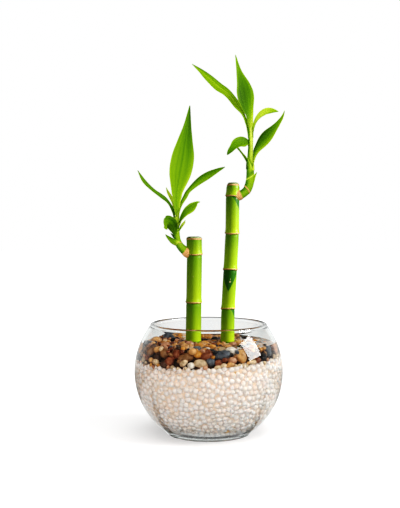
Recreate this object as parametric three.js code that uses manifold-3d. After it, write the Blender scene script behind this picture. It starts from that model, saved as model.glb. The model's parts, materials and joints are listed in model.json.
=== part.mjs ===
// Lucky bamboo: two cut canes, each with one leafy shoot, standing in white gravel
// and a layer of river pebbles under shallow water, in a round glass bowl.
// Units are millimetres and +Z is up. The origin is the centre of the bowl's flat base,
// and the plant is seen from the front along +Y, with +X to the right.

import * as THREE from 'three';
import { mergeVertices } from 'three/addons/utils/BufferGeometryUtils.js';
import Module from 'manifold-3d';

const CLEARANCE = 0.3;

// Bowl: a blown sphere, cut open at the mouth and flattened at the foot.
const BOWL_RADIUS = 63.5;
const BOWL_CENTRE_Z = 53.5;
const BOWL_WALL = 2.6;
const BOWL_SEGMENTS = 40;
const FOOT_EDGE_RADIUS = 1.5;
const LIP_RADIUS = 1.5;
const LIP_CENTRE = [48.6, 92.8];
const CAVITY_RADIUS = BOWL_RADIUS - BOWL_WALL;
const CAVITY_FLOOR_Z = 7;
const CAVITY_FLOOR_RADIUS = 26;
const CAVITY_CORNER_TOP_Z = 20;

// Fillings, from the bottom up. The gravel's surface rises to the right by its tilt, and the
// pebbles are heaped deeper on the left. A size is a stone's half height, width or length.
// The gravel's lumps are about 9.6 mm apart. A lump's depth is its least depth and its spread.
const GRAVEL_TOP_Z = 64.6;
const GRAVEL_TILT = 2.6;
const GRAVEL_COLUMNS = 69;
const GRAVEL_CORNER_ROWS = 5;
const GRAVEL_WALL_ROWS = 10;
const GRAVEL_SHOULDER = [5.2, 1.2];
const LUMP_TOP_DEPTH = [0.35, 0.5];
const LUMP_HOLLOW_DEPTH = [3.1, 0.9];
const PEBBLE_TILT = 1.8;
const PEBBLE_CORE_DEPTH = 5.4;
const PEBBLE_CORE_INSET = 6;
const PEBBLE_CORE_COLUMNS = 20;
const PEBBLE_PROPORTIONS = [0.82, 1.1, 0.72];
const PEBBLE_SIZE_SPREAD = [0.9, 0.22];
const PEBBLE_LIFT_SPREAD = 1.8;
const PEBBLE_LEAN = 0.4;
const PEBBLE_UNEVENNESS = 0.16;
const PEBBLE_TIERS = [
  { count: 24, inset: 5.2, lift: 3.4, size: 5.9 },
  { count: 21, inset: 6.0, lift: 9.4, size: 6.1 },
  { count: 16, inset: 17.0, lift: 9.0, size: 6.7 },
  { count: 11, inset: 28.5, lift: 9.2, size: 6.8 },
  { count: 6, inset: 40.0, lift: 9.4, size: 6.8 },
  { count: 2, inset: 52.0, lift: 9.4, size: 6.6 },
];
const WATER_Z = 77.2;
const WATER_BOTTOM_Z = 75;
const WATER_SEGMENTS = 40;

// Canes: round stalks with raised rings at their joints.
const CANE_SIDES = 16;
const RING_HEIGHT = 0.55;
const RING_WIDTH = 0.8;
const RING_SHOULDER = 1.1;
const RING_SLANT = 0.35;
const HOLE_TOP_Z = 90;
const CANES = {
  cane_short: {
    radius: 6.65,
    axis: [[-13.2, 0, 16], [-13.0, 0, 82], [-12.7, 0, 112.2], [-12.1, 0, 153.4], [-12.4, 0, 167]],
    rings: [112.4, 153.2],
    taper: [[16, 1], [100, 1], [150, 0.98], [167, 1]],
  },
  cane_tall: {
    radius: 5.85,
    axis: [[15.9, 0, 13], [16.2, 0, 82], [16.6, 0, 107], [18.5, 0, 140.6], [20.1, 0, 171.4],
      [20.4, 0, 202.9], [20.8, 0, 213]],
    rings: [107.1, 140.6, 171.4, 203.2],
    taper: [[13, 1], [140, 1], [200, 0.99], [210, 0.95], [213, 0.72]],
  },
};
const WAX_HEIGHT = 1.3;
const WAX_INSET = 0.2;

// Shoot stems: axis points [x, y, z, radius], from inside the cane to the tip of the stem.
const SHOOT_SIDES = 12;
const SHOOTS = {
  shoot_short: {
    cane: 'cane_short',
    axis: [[-12.5, 0, 153.8, 4.2], [-17.6, 0, 155.0, 4.4], [-20.1, 0, 156.3, 3.9], [-22.8, 0, 158.5, 3.4],
      [-25.2, 0, 161.6, 3.0], [-26.5, 0, 165.4, 2.6], [-27.1, 0, 169.3, 2.4], [-27.6, 0, 173.0, 2.2],
      [-27.8, 0, 177.0, 1.9], [-27.8, 0, 181.5, 1.7], [-27.8, 0.6, 185.2, 1.5]],
  },
  shoot_tall: {
    cane: 'cane_tall',
    axis: [[20.5, 0, 203.2, 4.0], [26.0, 0, 203.8, 4.1], [27.8, 0, 204.2, 3.5], [30.4, 0, 205.8, 3.3],
      [33.2, 0, 209.0, 3.4], [35.1, 0, 215.6, 3.4], [35.4, 0, 225.3, 3.2], [35.3, 0, 232.6, 2.8],
      [35.5, 0, 239.9, 2.3], [35.7, 0, 247.2, 2.0], [35.6, 0, 254.5, 1.9], [35.3, 0.4, 261.0, 1.7]],
  },
};

// Leaves: midrib points [x, y, z, half width]. The inner face of the blade looks along `face`,
// a direction that runs from the leaf's base to its tip. `wrap` is how far the base clasps the
// stem, in degrees each side, and `fold` is the hollow of the open blade. A wave ripples the edges.
const BLADE_THICKNESS = 0.7;
const BLADE_STRIPS = 4;
const BLADE_TIP_HALF = 0.35;
const SHEATH_SHARE = 0.35;
const LEAVES = {
  leaf_s1_curled: {
    stem: 'shoot_short', steps: 11, wrap: 75, fold: 30, wave: [0.3, 2],
    face: [[0.2, 1, 0.1], [0.2, 1, 0.2], [0.4, 1, 0.2], [0.7, 0.9, 0.1], [1, 0.3, 0.1], [1, -0.6, 0.1]],
    rib: [[-28.5, -2.2, 169.5, 2.1], [-29.7, -4.4, 172.7, 3.4], [-30.9, -7, 176.2, 5.2],
      [-32.6, -9.4, 179, 7], [-35, -10.6, 180.2, 6.4], [-37.1, -8.6, 180.1, 4.7],
      [-37.7, -4.4, 181.6, 2.8], [-36.1, -1.8, 183.5, 0.3]],
  },
  leaf_s2_short: {
    stem: 'shoot_short', steps: 10, wrap: 70, fold: 20, wave: [0.3, 2],
    face: [[-1, 0.5, 0.2], [-0.6, -0.6, 0.6], [-0.3, -0.9, 0.5], [-0.3, -0.9, 0.5]],
    rib: [[-26.2, -1.2, 173.9, 1.6], [-24.6, -2.4, 179.1, 2.5], [-22.6, -4.2, 184.5, 3.9],
      [-19.2, -6.6, 189.2, 4.9], [-15.1, -8.8, 192.3, 4.6], [-12.1, -10.2, 194.9, 3.3],
      [-9.7, -11.4, 197.1, 1.4], [-7.4, -12, 197.6, 0.3]],
  },
  leaf_s3_right: {
    stem: 'shoot_short', steps: 12, wrap: 60, fold: 24, wave: [0.3, 3],
    face: [[-1, -0.4, 0.2], [-0.7, -0.6, 0.6], [-0.4, -0.65, 0.65]],
    rib: [[-25.7, 0.6, 185, 1.8], [-25.1, 1.4, 189.3, 2.1], [-24.2, 2.4, 193.2, 2.5],
      [-22.3, 3.6, 197.7, 2.8], [-20, 4.8, 202, 3], [-16.8, 6.2, 207.4, 3.8], [-8.2, 8, 215.2, 5.4],
      [0, 9.4, 220.8, 5.2], [7.6, 10.3, 225, 3.2], [14.2, 10.8, 228.2, 0.4]],
  },
  leaf_s4_left: {
    stem: 'shoot_short', steps: 11, wrap: 60, fold: 30, wave: [0.3, 3],
    face: [[1, -0.3, 0.2], [0.8, -0.5, 0.5], [0.5, -0.6, 0.6], [0.45, -0.6, 0.7]],
    rib: [[-29.4, 0.2, 182, 1.7], [-29.9, -0.6, 186.5, 2], [-30.9, -1.6, 190.8, 2.5],
      [-32.8, -2.6, 195, 2.6], [-36.1, -3.6, 199.3, 2.5], [-41.3, -4.8, 203.4, 2.4],
      [-47.1, -5.8, 207.6, 2.5], [-54.6, -7.6, 215, 2.4], [-59.9, -9, 224.2, 0.4]],
  },
  leaf_s5_upright: {
    stem: 'shoot_short', steps: 12, wrap: 60, fold: 16, wave: [0.35, 2.5],
    face: [[0.2, -1, 0], [0.2, -1, 0.1], [0.1, -1, 0.25]],
    rib: [[-26.9, 2, 182.5, 1.3], [-26.9, 2.6, 187.7, 1.5], [-27.3, 3.6, 195.8, 2.6],
      [-27.1, 4.6, 202, 4], [-26.9, 5.6, 208.2, 5.5], [-24.6, 6.6, 222.4, 9.6],
      [-22.1, 8.4, 236.6, 9.8], [-20.2, 10.2, 250, 6.8], [-18.2, 12.4, 264, 3.4],
      [-16.2, 15.4, 281.4, 0.4]],
  },
  leaf_s6_young: {
    stem: 'shoot_short', steps: 7, wrap: 50, fold: 26, wave: [0.1, 2],
    face: [[0.8, -0.6, 0.2], [0.5, -1, 0.3]],
    rib: [[-28.9, 1.8, 186.8, 1.1], [-29.7, 3.4, 192.2, 1.1], [-30.7, 5.4, 197.1, 1.3],
      [-32.7, 7.8, 202.1, 2], [-34.7, 10, 205.9, 1.4], [-36.8, 12.6, 210.7, 0.2]],
  },
  leaf_s7_small: {
    stem: 'shoot_short', steps: 7, wrap: 60, fold: 26, wave: [0.1, 2],
    face: [[-1, -0.4, 0.3], [-0.6, -0.8, 0.4]],
    rib: [[-25.9, 1, 170.5, 1.1], [-24.8, 2, 173.9, 1.6], [-23.2, 3.4, 176.7, 2.4],
      [-21.7, 4.8, 179.2, 2], [-20.6, 6, 181.1, 0.9], [-20.1, 7, 182.5, 0.2]],
  },
  bract_s1: {
    stem: 'shoot_short', steps: 6, wrap: 60, fold: 30, wave: [0, 1],
    face: [[0.4, 1, 0.4], [0.5, 1, 0.5]],
    rib: [[-27, -2.6, 161.5, 3.4], [-30, -3.2, 163.8, 3.1], [-33, -3.8, 166.4, 2.2],
      [-35.3, -4.2, 168.5, 1.2], [-36.8, -4.4, 170.3, 0.2]],
  },
  bract_s2: {
    stem: 'shoot_short', steps: 4, wrap: 55, fold: 30, wave: [0, 1],
    face: [[0.5, 1, 0.5], [0.5, 1, 0.5]],
    rib: [[-27.7, 0.6, 166, 1.6], [-30.1, 1, 168.6, 1.3], [-32.6, 1.4, 171.3, 0.2]],
  },
  leaf_t1_narrow: {
    stem: 'shoot_tall', steps: 8, wrap: 60, fold: 24, wave: [0.2, 2],
    face: [[0.9, -0.3, 0.3], [0.5, -0.5, 0.6], [0.4, -0.5, 0.7]],
    rib: [[33.6, -0.4, 225.7, 2.2], [32.8, 0.8, 231.2, 2], [30.9, 3, 236, 1.8],
      [28.1, 5.6, 240.1, 1.6], [25.3, 9, 244, 1.3], [23.4, 12, 247.2, 0.3]],
  },
  leaf_t2_drooping: {
    stem: 'shoot_tall', steps: 11, wrap: 65, fold: 24, wave: [0.3, 2],
    face: [[1, -0.2, 0.3], [0.3, -1, 0.5], [-0.2, -1, 0.5], [-0.6, -0.9, 0.3], [-0.6, -0.9, 0.1]],
    rib: [[33.9, -0.6, 245.5, 2.1], [32.5, -2, 248.1, 3.2], [29.1, -4.4, 248.5, 5.1],
      [24.5, -7.4, 246.9, 5.4], [20.7, -10, 243.4, 3.8], [17.7, -12, 239.9, 2.5],
      [15.5, -13.6, 236.9, 0.6]],
  },
  leaf_t3_right: {
    stem: 'shoot_tall', steps: 13, wrap: 65, fold: 22, wave: [0.35, 2.5],
    face: [[-1, -0.6, 0.2], [-0.7, -0.7, 0.4], [-0.6, -0.7, 0.4]],
    rib: [[37.1, -0.6, 224.7, 2.2], [37.9, -1.6, 231.7, 2.5], [39.3, -2.8, 237.9, 3.7],
      [41.7, -4.2, 242.9, 5.1], [45.8, -6, 248.4, 6.8], [50.3, -7.8, 253.7, 6.8],
      [54.5, -9.2, 258.6, 5], [58.6, -10.4, 263.9, 2.8], [61.5, -11.4, 268.6, 1.4],
      [63.4, -12.2, 273.8, 0.3]],
  },
  leaf_t4_left: {
    stem: 'shoot_tall', steps: 15, wrap: 60, fold: 24, wave: [0.45, 4],
    face: [[1, -0.3, 0.2], [0.7, -0.6, 0.5], [0.5, -0.5, 0.68]],
    rib: [[33.8, 0.6, 252.4, 1.4], [33.2, 1, 257.2, 1.6], [32.3, 1.6, 263.6, 1.8],
      [30.7, 2.6, 269.2, 2.1], [28.2, 4.2, 274.5, 2.7], [24.6, 7, 280.1, 3.7],
      [19.9, 10.4, 286.9, 4.5], [15.2, 13.6, 292.8, 4.5], [8.4, 18.6, 295.8, 5.4], [0, 23, 304.6, 5],
      [-6.4, 26.2, 311.8, 2.8], [-14.4, 29.2, 319.6, 0.4]],
  },
  leaf_t5_small: {
    stem: 'shoot_tall', steps: 11, wrap: 60, fold: 22, wave: [0.15, 2],
    face: [[-1, -0.2, 0.2], [-0.7, -0.6, 0.5], [-0.3, -0.9, 0.7], [0, -0.7, 0.8]],
    rib: [[37.5, -0.2, 252.4, 1.6], [37.9, -0.9, 258.5, 1.8], [39, -2.2, 264, 2.4],
      [41, -4, 268.2, 3.3], [44.2, -6.4, 271.5, 3.8], [48.1, -8.8, 273.4, 3.8],
      [52, -11.4, 273.5, 3.3], [55.1, -13.2, 273.1, 2], [58, -15, 272.5, 0.3]],
  },
  leaf_t6_top: {
    stem: 'shoot_tall', steps: 12, wrap: 60, fold: 20, wave: [0.4, 2.5],
    face: [[0.1, -1, 0], [0.1, -1, 0.1], [0.2, -1, 0.3]],
    rib: [[35.5, 1.2, 258.2, 2.2], [35.2, 1.8, 265.9, 2.8], [34.7, 2.6, 272.3, 3.5],
      [33.2, 3.6, 278.8, 5.3], [31.9, 4.6, 285.8, 7.2], [30.9, 6, 292.3, 7.3], [29.5, 7.6, 298.9, 5.6],
      [27.3, 9.4, 306, 3.5], [25.5, 11.4, 313.2, 1.9], [23.2, 14, 324.8, 0.3]],
  },
  bract_t1: {
    stem: 'shoot_tall', steps: 5, wrap: 50, fold: 40, wave: [0, 1],
    face: [[-0.9, -0.8, 0.3], [-0.7, -1, 0.4]],
    rib: [[38.1, -0.6, 214.5, 1.3], [38.5, -1, 217.7, 1.3], [39.7, -1.4, 220.6, 0.8],
      [41, -1.8, 223.1, 0.2]],
  },
};

const COLOURS = {
  glass: { color: 0xe8f0f2, roughness: 0.04, metalness: 0 },
  water: { color: 0xdfeef2, roughness: 0.02, metalness: 0 },
  gravel: { color: 0xe4dad0, roughness: 0.6, metalness: 0 },
  pebble: { color: 0x8a5f3c, roughness: 0.45, metalness: 0 },
  cane: { color: 0x6ea010, roughness: 0.4, metalness: 0 },
  wax: { color: 0x8c9a62, roughness: 0.5, metalness: 0 },
  shoot: { color: 0xa4cc30, roughness: 0.42, metalness: 0 },
  leaf: { color: 0x55960c, roughness: 0.38, metalness: 0 },
};

const wasm = await Module();
wasm.setup();

// A repeatable random number from 0 to 1 for a pair of whole numbers.
function scatter(a, b) {
  const value = Math.sin(a * 127.1 + b * 311.7) * 43758.5453;
  return value - Math.floor(value);
}

// A closed mesh from points and triangles.
function meshGeometry(points, triangles) {
  const geometry = new THREE.BufferGeometry();
  geometry.setAttribute('position', new THREE.Float32BufferAttribute(points.flat(), 3));
  geometry.setIndex(triangles.flat());
  return geometry;
}

function toSolid(geometry) {
  const bare = geometry.clone();
  bare.deleteAttribute('normal');
  bare.deleteAttribute('uv');
  const merged = mergeVertices(bare, 1e-4);
  return new wasm.Manifold(new wasm.Mesh({
    numProp: 3,
    vertProperties: new Float32Array(merged.attributes.position.array),
    triVerts: new Uint32Array(merged.index.array),
  }));
}

function toGeometry(solid) {
  const mesh = solid.getMesh();
  const geometry = new THREE.BufferGeometry();
  geometry.setAttribute('position', new THREE.BufferAttribute(new Float32Array(mesh.vertProperties), 3));
  geometry.setIndex(new THREE.BufferAttribute(new Uint32Array(mesh.triVerts), 1));
  return geometry;
}

// A solid of revolution about Z from [radius, z] points.
function turned(profile, segments) {
  const points = profile.map(([radius, z]) => new THREE.Vector2(radius, z));
  return new THREE.LatheGeometry(points, segments).rotateX(Math.PI / 2);
}

// The largest body of a solid; loose scraps are dropped.
function largestBody(solid) {
  const bodies = solid.decompose();
  return bodies.reduce((best, body) => (body.volume() > best.volume() ? body : best));
}

// A skin over rings of points, closed with flat fans at both ends. Every ring has the same
// number of points, and runs anticlockwise as seen from the end that the rings lead to.
function loft(rings) {
  const sides = rings[0].length;
  const points = rings.flat();
  const triangles = [];
  for (let row = 0; row < rings.length - 1; row++) {
    for (let side = 0; side < sides; side++) {
      const next = (side + 1) % sides;
      const low = row * sides;
      const high = low + sides;
      triangles.push([low + side, low + next, high + next], [low + side, high + next, high + side]);
    }
  }
  closeEnd(points, triangles, rings[0], 0, true);
  closeEnd(points, triangles, rings[rings.length - 1], (rings.length - 1) * sides, false);
  return meshGeometry(points, triangles);
}

function closeEnd(points, triangles, ring, first, reversed) {
  const centre = points.length;
  points.push([0, 1, 2].map((axis) => ring.reduce((sum, point) => sum + point[axis], 0) / ring.length));
  for (let side = 0; side < ring.length; side++) {
    const next = (side + 1) % ring.length;
    triangles.push(reversed ? [centre, first + next, first + side] : [centre, first + side, first + next]);
  }
}

// A smooth curve through rows of numbers, at t from 0 to 1.
function smooth(rows, t) {
  const spans = rows.length - 1;
  const span = Math.min(Math.floor(t * spans), spans - 1);
  const u = t * spans - span;
  return rows[0].map((_, k) => {
    const b = rows[span][k];
    const c = rows[span + 1][k];
    const a = span > 0 ? rows[span - 1][k] : 2 * b - c;
    const d = span + 2 < rows.length ? rows[span + 2][k] : 2 * c - b;
    return b + 0.5 * u * (c - a + u * (2 * a - 5 * b + 4 * c - d + u * (3 * (b - c) + d - a)));
  });
}

// The value beside `key` in a list of [key, value] pairs, on straight lines between them.
function along(pairs, key) {
  let index = 0;
  while (index < pairs.length - 2 && key > pairs[index + 1][0]) index++;
  const [k0, v0] = pairs[index];
  const [k1, v1] = pairs[index + 1];
  const share = Math.min(Math.max((key - k0) / (k1 - k0), 0), 1);
  return v0 + (v1 - v0) * share;
}

// ---- Bowl ----

function arcPoints(centre, radius, from, to, steps) {
  return Array.from({ length: steps + 1 }, (_, step) => {
    const angle = THREE.MathUtils.degToRad(from + ((to - from) * step) / steps);
    return [centre[0] + radius * Math.cos(angle), centre[1] + radius * Math.sin(angle)];
  });
}

// The radius of the cavity's round wall at a height, `gap` inside the glass.
function cavityRadius(z, gap = 0) {
  return Math.sqrt((CAVITY_RADIUS - gap) ** 2 - (z - BOWL_CENTRE_Z) ** 2);
}

// The cavity's outline [radius, z] from the middle of its floor up to where the round wall begins.
function cavityFloor(gap, steps) {
  const top = [cavityRadius(CAVITY_CORNER_TOP_Z, gap), CAVITY_CORNER_TOP_Z];
  const slope = (BOWL_CENTRE_Z - CAVITY_CORNER_TOP_Z) / top[0];
  const floor = CAVITY_FLOOR_Z + gap;
  const corner = [top[0] - slope * (CAVITY_CORNER_TOP_Z - floor), floor];
  const points = [[0, floor]];
  for (let step = 0; step <= steps; step++) {
    const t = step / steps;
    points.push([0, 1].map((k) => (1 - t) ** 2 * [CAVITY_FLOOR_RADIUS, floor][k]
      + 2 * t * (1 - t) * corner[k] + t ** 2 * top[k]));
  }
  return points;
}

function bowlGeometry() {
  const centre = [0, BOWL_CENTRE_Z];
  const degrees = (z, radius) => THREE.MathUtils.radToDeg(Math.asin((z - BOWL_CENTRE_Z) / radius));
  const footAngle = degrees(FOOT_EDGE_RADIUS, BOWL_RADIUS);
  const lipAngle = degrees(LIP_CENTRE[1] - LIP_RADIUS, BOWL_RADIUS);
  const innerLipAngle = degrees(LIP_CENTRE[1] - LIP_RADIUS, CAVITY_RADIUS);
  const innerCornerAngle = degrees(CAVITY_CORNER_TOP_Z, CAVITY_RADIUS);
  const outer = arcPoints(centre, BOWL_RADIUS, footAngle, lipAngle, 10);
  const footRadius = outer[0][0] - FOOT_EDGE_RADIUS;
  const profile = [
    [0, 0],
    [footRadius, 0],
    [outer[0][0] - 0.3 * FOOT_EDGE_RADIUS, 0.35 * FOOT_EDGE_RADIUS],
    ...outer,
    ...arcPoints(LIP_CENTRE, LIP_RADIUS, -20, 200, 5),
    ...arcPoints(centre, CAVITY_RADIUS, innerLipAngle, innerCornerAngle, 9).slice(0, -1),
    ...cavityFloor(0, 4).reverse(),
  ];
  return turned(profile, BOWL_SEGMENTS);
}

// ---- Gravel, pebbles and water ----

// The height of the gravel's surface, an even slope that rises to the right.
function gravelTop(x) {
  return GRAVEL_TOP_Z + (GRAVEL_TILT * x) / CAVITY_RADIUS;
}

// The pebbles are heaped a little deeper on the left, so their upper surface slopes the other way.
function heap(x) {
  return (-PEBBLE_TILT * x) / CAVITY_RADIUS;
}

// A ring of points about Z. A shift of one turns it by the step between two columns.
function ring(radius, columns, height, shift = 0) {
  return Array.from({ length: columns }, (_, column) => {
    const angle = (2 * Math.PI * (column + shift)) / columns;
    const x = radius * Math.cos(angle);
    const y = radius * Math.sin(angle);
    return [x, y, height(x)];
  });
}

// How far a point of the gravel's side lies inside the cavity. Rows are staggered, so that
// every third point is the top of a lump with six hollows around it.
function lumpDepth(row, column) {
  const [least, spread] = (row + column) % 3 === 0 ? LUMP_TOP_DEPTH : LUMP_HOLLOW_DEPTH;
  return least + spread * scatter(row, column);
}

// A point of the gravel's side, moved from the cavity's outline towards the bowl's centre.
function gravelPoint(outline, row, column) {
  const angle = (2 * Math.PI * (column - row / 2)) / GRAVEL_COLUMNS;
  let [radius, z] = outline[Math.min(row, GRAVEL_CORNER_ROWS)];
  if (row > GRAVEL_CORNER_ROWS) {
    const edge = cavityRadius(GRAVEL_TOP_Z, CLEARANCE);
    const top = gravelTop(edge * Math.cos(angle)) - GRAVEL_SHOULDER[1];
    z += ((top - z) * (row - GRAVEL_CORNER_ROWS)) / GRAVEL_WALL_ROWS;
    radius = cavityRadius(z, CLEARANCE);
  }
  const keep = row === 0 ? 1 : 1 - lumpDepth(row, column) / (CAVITY_RADIUS - CLEARANCE);
  return [
    keep * radius * Math.cos(angle),
    keep * radius * Math.sin(angle),
    BOWL_CENTRE_Z + keep * (z - BOWL_CENTRE_Z),
  ];
}

function gravelSolid() {
  const outline = cavityFloor(CLEARANCE, GRAVEL_CORNER_ROWS).slice(1);
  const rows = GRAVEL_CORNER_ROWS + GRAVEL_WALL_ROWS;
  const rings = [];
  for (let row = 0; row <= rows; row++) {
    rings.push(Array.from({ length: GRAVEL_COLUMNS }, (_, column) => gravelPoint(outline, row, column)));
  }
  const topRadius = cavityRadius(GRAVEL_TOP_Z, CLEARANCE) - GRAVEL_SHOULDER[0];
  rings.push(ring(topRadius, GRAVEL_COLUMNS, gravelTop, -(rows + 1) / 2));
  return toSolid(loft(rings)).subtract(caneHoles());
}

// One rounded stone with uneven facets.
function pebble(place, grow) {
  const shape = new THREE.IcosahedronGeometry(1.06);
  const position = shape.attributes.position;
  const point = new THREE.Vector3();
  for (let index = 0; index < position.count; index++) {
    point.fromBufferAttribute(position, index);
    const corner = Math.round(100 * (point.x + 2 * point.y + 4 * point.z));
    point.multiplyScalar(1 - PEBBLE_UNEVENNESS * scatter(corner, place.seed));
    position.setXYZ(index, point.x, point.y, point.z);
  }
  shape.scale(...place.size.map((half) => half + grow));
  shape.rotateX(place.turn[0]).rotateY(place.turn[1]).rotateZ(place.turn[2]);
  shape.translate(...place.centre);
  return toSolid(shape);
}

// Pebbles stand in two tiers round the wall and in rings over the middle.
function pebblePlaces() {
  const places = [];
  PEBBLE_TIERS.forEach((tier, level) => {
    for (let index = 0; index < tier.count; index++) {
      const seed = level * 100 + index;
      const spread = (column) => scatter(seed, column) - 0.5;
      const angle = (2 * Math.PI * (index + PEBBLE_LEAN * scatter(seed, 1))) / tier.count;
      const size = tier.size * (PEBBLE_SIZE_SPREAD[0] + PEBBLE_SIZE_SPREAD[1] * scatter(seed, 2));
      const z = GRAVEL_TOP_Z + tier.lift + PEBBLE_LIFT_SPREAD * spread(3);
      const radius = cavityRadius(z) - tier.inset - scatter(seed, 4);
      const x = radius * Math.cos(angle);
      const slope = level === 0 ? gravelTop(x) - GRAVEL_TOP_Z : heap(x);
      places.push({
        seed,
        centre: [x, radius * Math.sin(angle), z + slope],
        size: PEBBLE_PROPORTIONS.map((share) => size * share),
        turn: [PEBBLE_LEAN * spread(5), PEBBLE_LEAN * spread(6), angle],
      });
    }
  });
  return places;
}

// The stones' shared core lies on the gravel and stands clear of the wall.
function pebbleCore(grow) {
  const outerRadius = cavityRadius(GRAVEL_TOP_Z, CLEARANCE) - PEBBLE_CORE_INSET;
  const lower = ring(outerRadius, PEBBLE_CORE_COLUMNS, (x) => gravelTop(x) + CLEARANCE - grow);
  const upperZ = GRAVEL_TOP_Z + CLEARANCE + PEBBLE_CORE_DEPTH + grow;
  const upper = ring(outerRadius, PEBBLE_CORE_COLUMNS, (x) => upperZ + heap(x));
  return toSolid(loft([lower, upper]));
}

// The round space inside the bowl above the corner of its floor.
function cavitySolid(gap) {
  const radius = CAVITY_RADIUS - gap;
  const degrees = (z) => THREE.MathUtils.radToDeg(Math.asin((z - BOWL_CENTRE_Z) / radius));
  const wall = arcPoints([0, BOWL_CENTRE_Z], radius, degrees(CAVITY_CORNER_TOP_Z), degrees(HOLE_TOP_Z), 16);
  const profile = [[0, CAVITY_CORNER_TOP_Z], ...wall, [0, HOLE_TOP_Z]];
  return toSolid(turned(profile, WATER_SEGMENTS));
}

function pebbleSolid(grow) {
  const stones = pebblePlaces().map((place) => pebble(place, grow));
  return wasm.Manifold.union([pebbleCore(grow), ...stones]);
}

// The stones rest flat on the gravel and stay clear of the glass.
function pebbleLayerSolid() {
  const slope = new THREE.Vector3(-GRAVEL_TILT / CAVITY_RADIUS, 0, 1).normalize();
  const resting = pebbleSolid(0).trimByPlane(slope.toArray(), (GRAVEL_TOP_Z + CLEARANCE) * slope.z);
  return largestBody(resting.intersect(cavitySolid(CLEARANCE)).subtract(caneHoles()));
}

// The sheet of open water that covers the stones up to its surface.
function waterSolid() {
  const [topRadius, bottomRadius] = [WATER_Z, WATER_BOTTOM_Z].map((z) => cavityRadius(z, CLEARANCE));
  const depth = WATER_Z - WATER_BOTTOM_Z;
  const pool = new THREE.CylinderGeometry(topRadius, bottomRadius, depth, WATER_SEGMENTS);
  pool.rotateX(Math.PI / 2).translate(0, 0, (WATER_Z + WATER_BOTTOM_Z) / 2);
  return largestBody(toSolid(pool).subtract(pebbleSolid(CLEARANCE)).subtract(caneHoles()));
}

// ---- Canes ----

// Plain round holes that the canes stand in.
function caneHoles() {
  const holes = Object.values(CANES).map((cane) => {
    const [foot, above] = cane.axis;
    const drift = Math.abs(above[0] - foot[0]) / 2;
    const radius = cane.radius + CLEARANCE + drift;
    const bottom = foot[2] - CLEARANCE;
    const hole = new THREE.CylinderGeometry(radius, radius, HOLE_TOP_Z - bottom, CANE_SIDES);
    hole.rotateX(Math.PI / 2).translate((foot[0] + above[0]) / 2, foot[1], (HOLE_TOP_Z + bottom) / 2);
    return toSolid(hole);
  });
  return wasm.Manifold.union(holes);
}

// The middle of a cane at a height, as [x, y].
function axisAt(axis, z) {
  return [0, 1].map((k) => along(axis.map((point) => [point[2], point[k]]), z));
}

// The heights of a cane's cross-sections, close together at its joints.
function caneStations(cane) {
  const levels = [...cane.taper.map((pair) => pair[0]), cane.axis[1][2]];
  cane.rings.forEach((z) => {
    levels.push(z - RING_SHOULDER, z - RING_WIDTH / 2, z + RING_WIDTH / 2, z + RING_SHOULDER);
  });
  return levels.sort((a, b) => a - b);
}

function caneGeometry(cane, grow = 0) {
  const rings = caneStations(cane).map((z) => {
    const [x, y] = axisAt(cane.axis, z);
    const raised = cane.rings.some((level) => Math.abs(z - level) < RING_WIDTH);
    const radius = cane.radius * along(cane.taper, z) + (raised ? RING_HEIGHT : 0) + grow;
    return Array.from({ length: CANE_SIDES }, (_, side) => {
      const angle = (2 * Math.PI * side) / CANE_SIDES;
      const slant = raised ? RING_SLANT * Math.cos(2 * angle) : 0;
      return [x + radius * Math.cos(angle), y + radius * Math.sin(angle), z + slant];
    });
  });
  return loft(rings);
}

// A low dome of wax over a cane's cut top.
function waxGeometry(cane) {
  const [x, y, top] = cane.axis[cane.axis.length - 1];
  const radius = cane.radius * cane.taper[cane.taper.length - 1][1] - WAX_INSET;
  const shape = [[0, 0], [1, 0], [1, 0.3], [0.7, 0.85], [0, 1]];
  const profile = shape.map(([across, up]) => [across * radius, up * WAX_HEIGHT]);
  return turned(profile, CANE_SIDES).translate(x, y, top + CLEARANCE);
}

// ---- Shoots ----

function shootAt(shoot, t) {
  const [x, y, z, radius] = smooth(shoot.axis, t);
  return { centre: new THREE.Vector3(x, y, z), radius };
}

function shootGeometry(shoot, grow = 0) {
  const steps = 2 * (shoot.axis.length - 1);
  const rings = [];
  for (let step = 0; step <= steps; step++) {
    const t = step / steps;
    const { centre, radius } = shootAt(shoot, t);
    const ahead = shootAt(shoot, Math.min(t + 0.01, 1)).centre;
    const behind = shootAt(shoot, Math.max(t - 0.01, 0)).centre;
    const tangent = ahead.sub(behind).normalize();
    const across = new THREE.Vector3(0, 1, 0);
    const up = new THREE.Vector3().crossVectors(tangent, across).normalize();
    const push = step === steps ? grow : 0;
    rings.push(Array.from({ length: SHOOT_SIDES }, (_, side) => {
      const angle = (-2 * Math.PI * side) / SHOOT_SIDES;
      const point = centre.clone()
        .addScaledVector(up, (radius + grow) * Math.cos(angle))
        .addScaledVector(across, (radius + grow) * Math.sin(angle))
        .addScaledVector(tangent, push);
      return point.toArray();
    }));
  }
  return loft(rings);
}

function shootSolid(name) {
  const shoot = SHOOTS[name];
  const cane = toSolid(caneGeometry(CANES[shoot.cane], CLEARANCE));
  return largestBody(toSolid(shootGeometry(shoot)).subtract(cane));
}

// ---- Leaves ----

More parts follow.
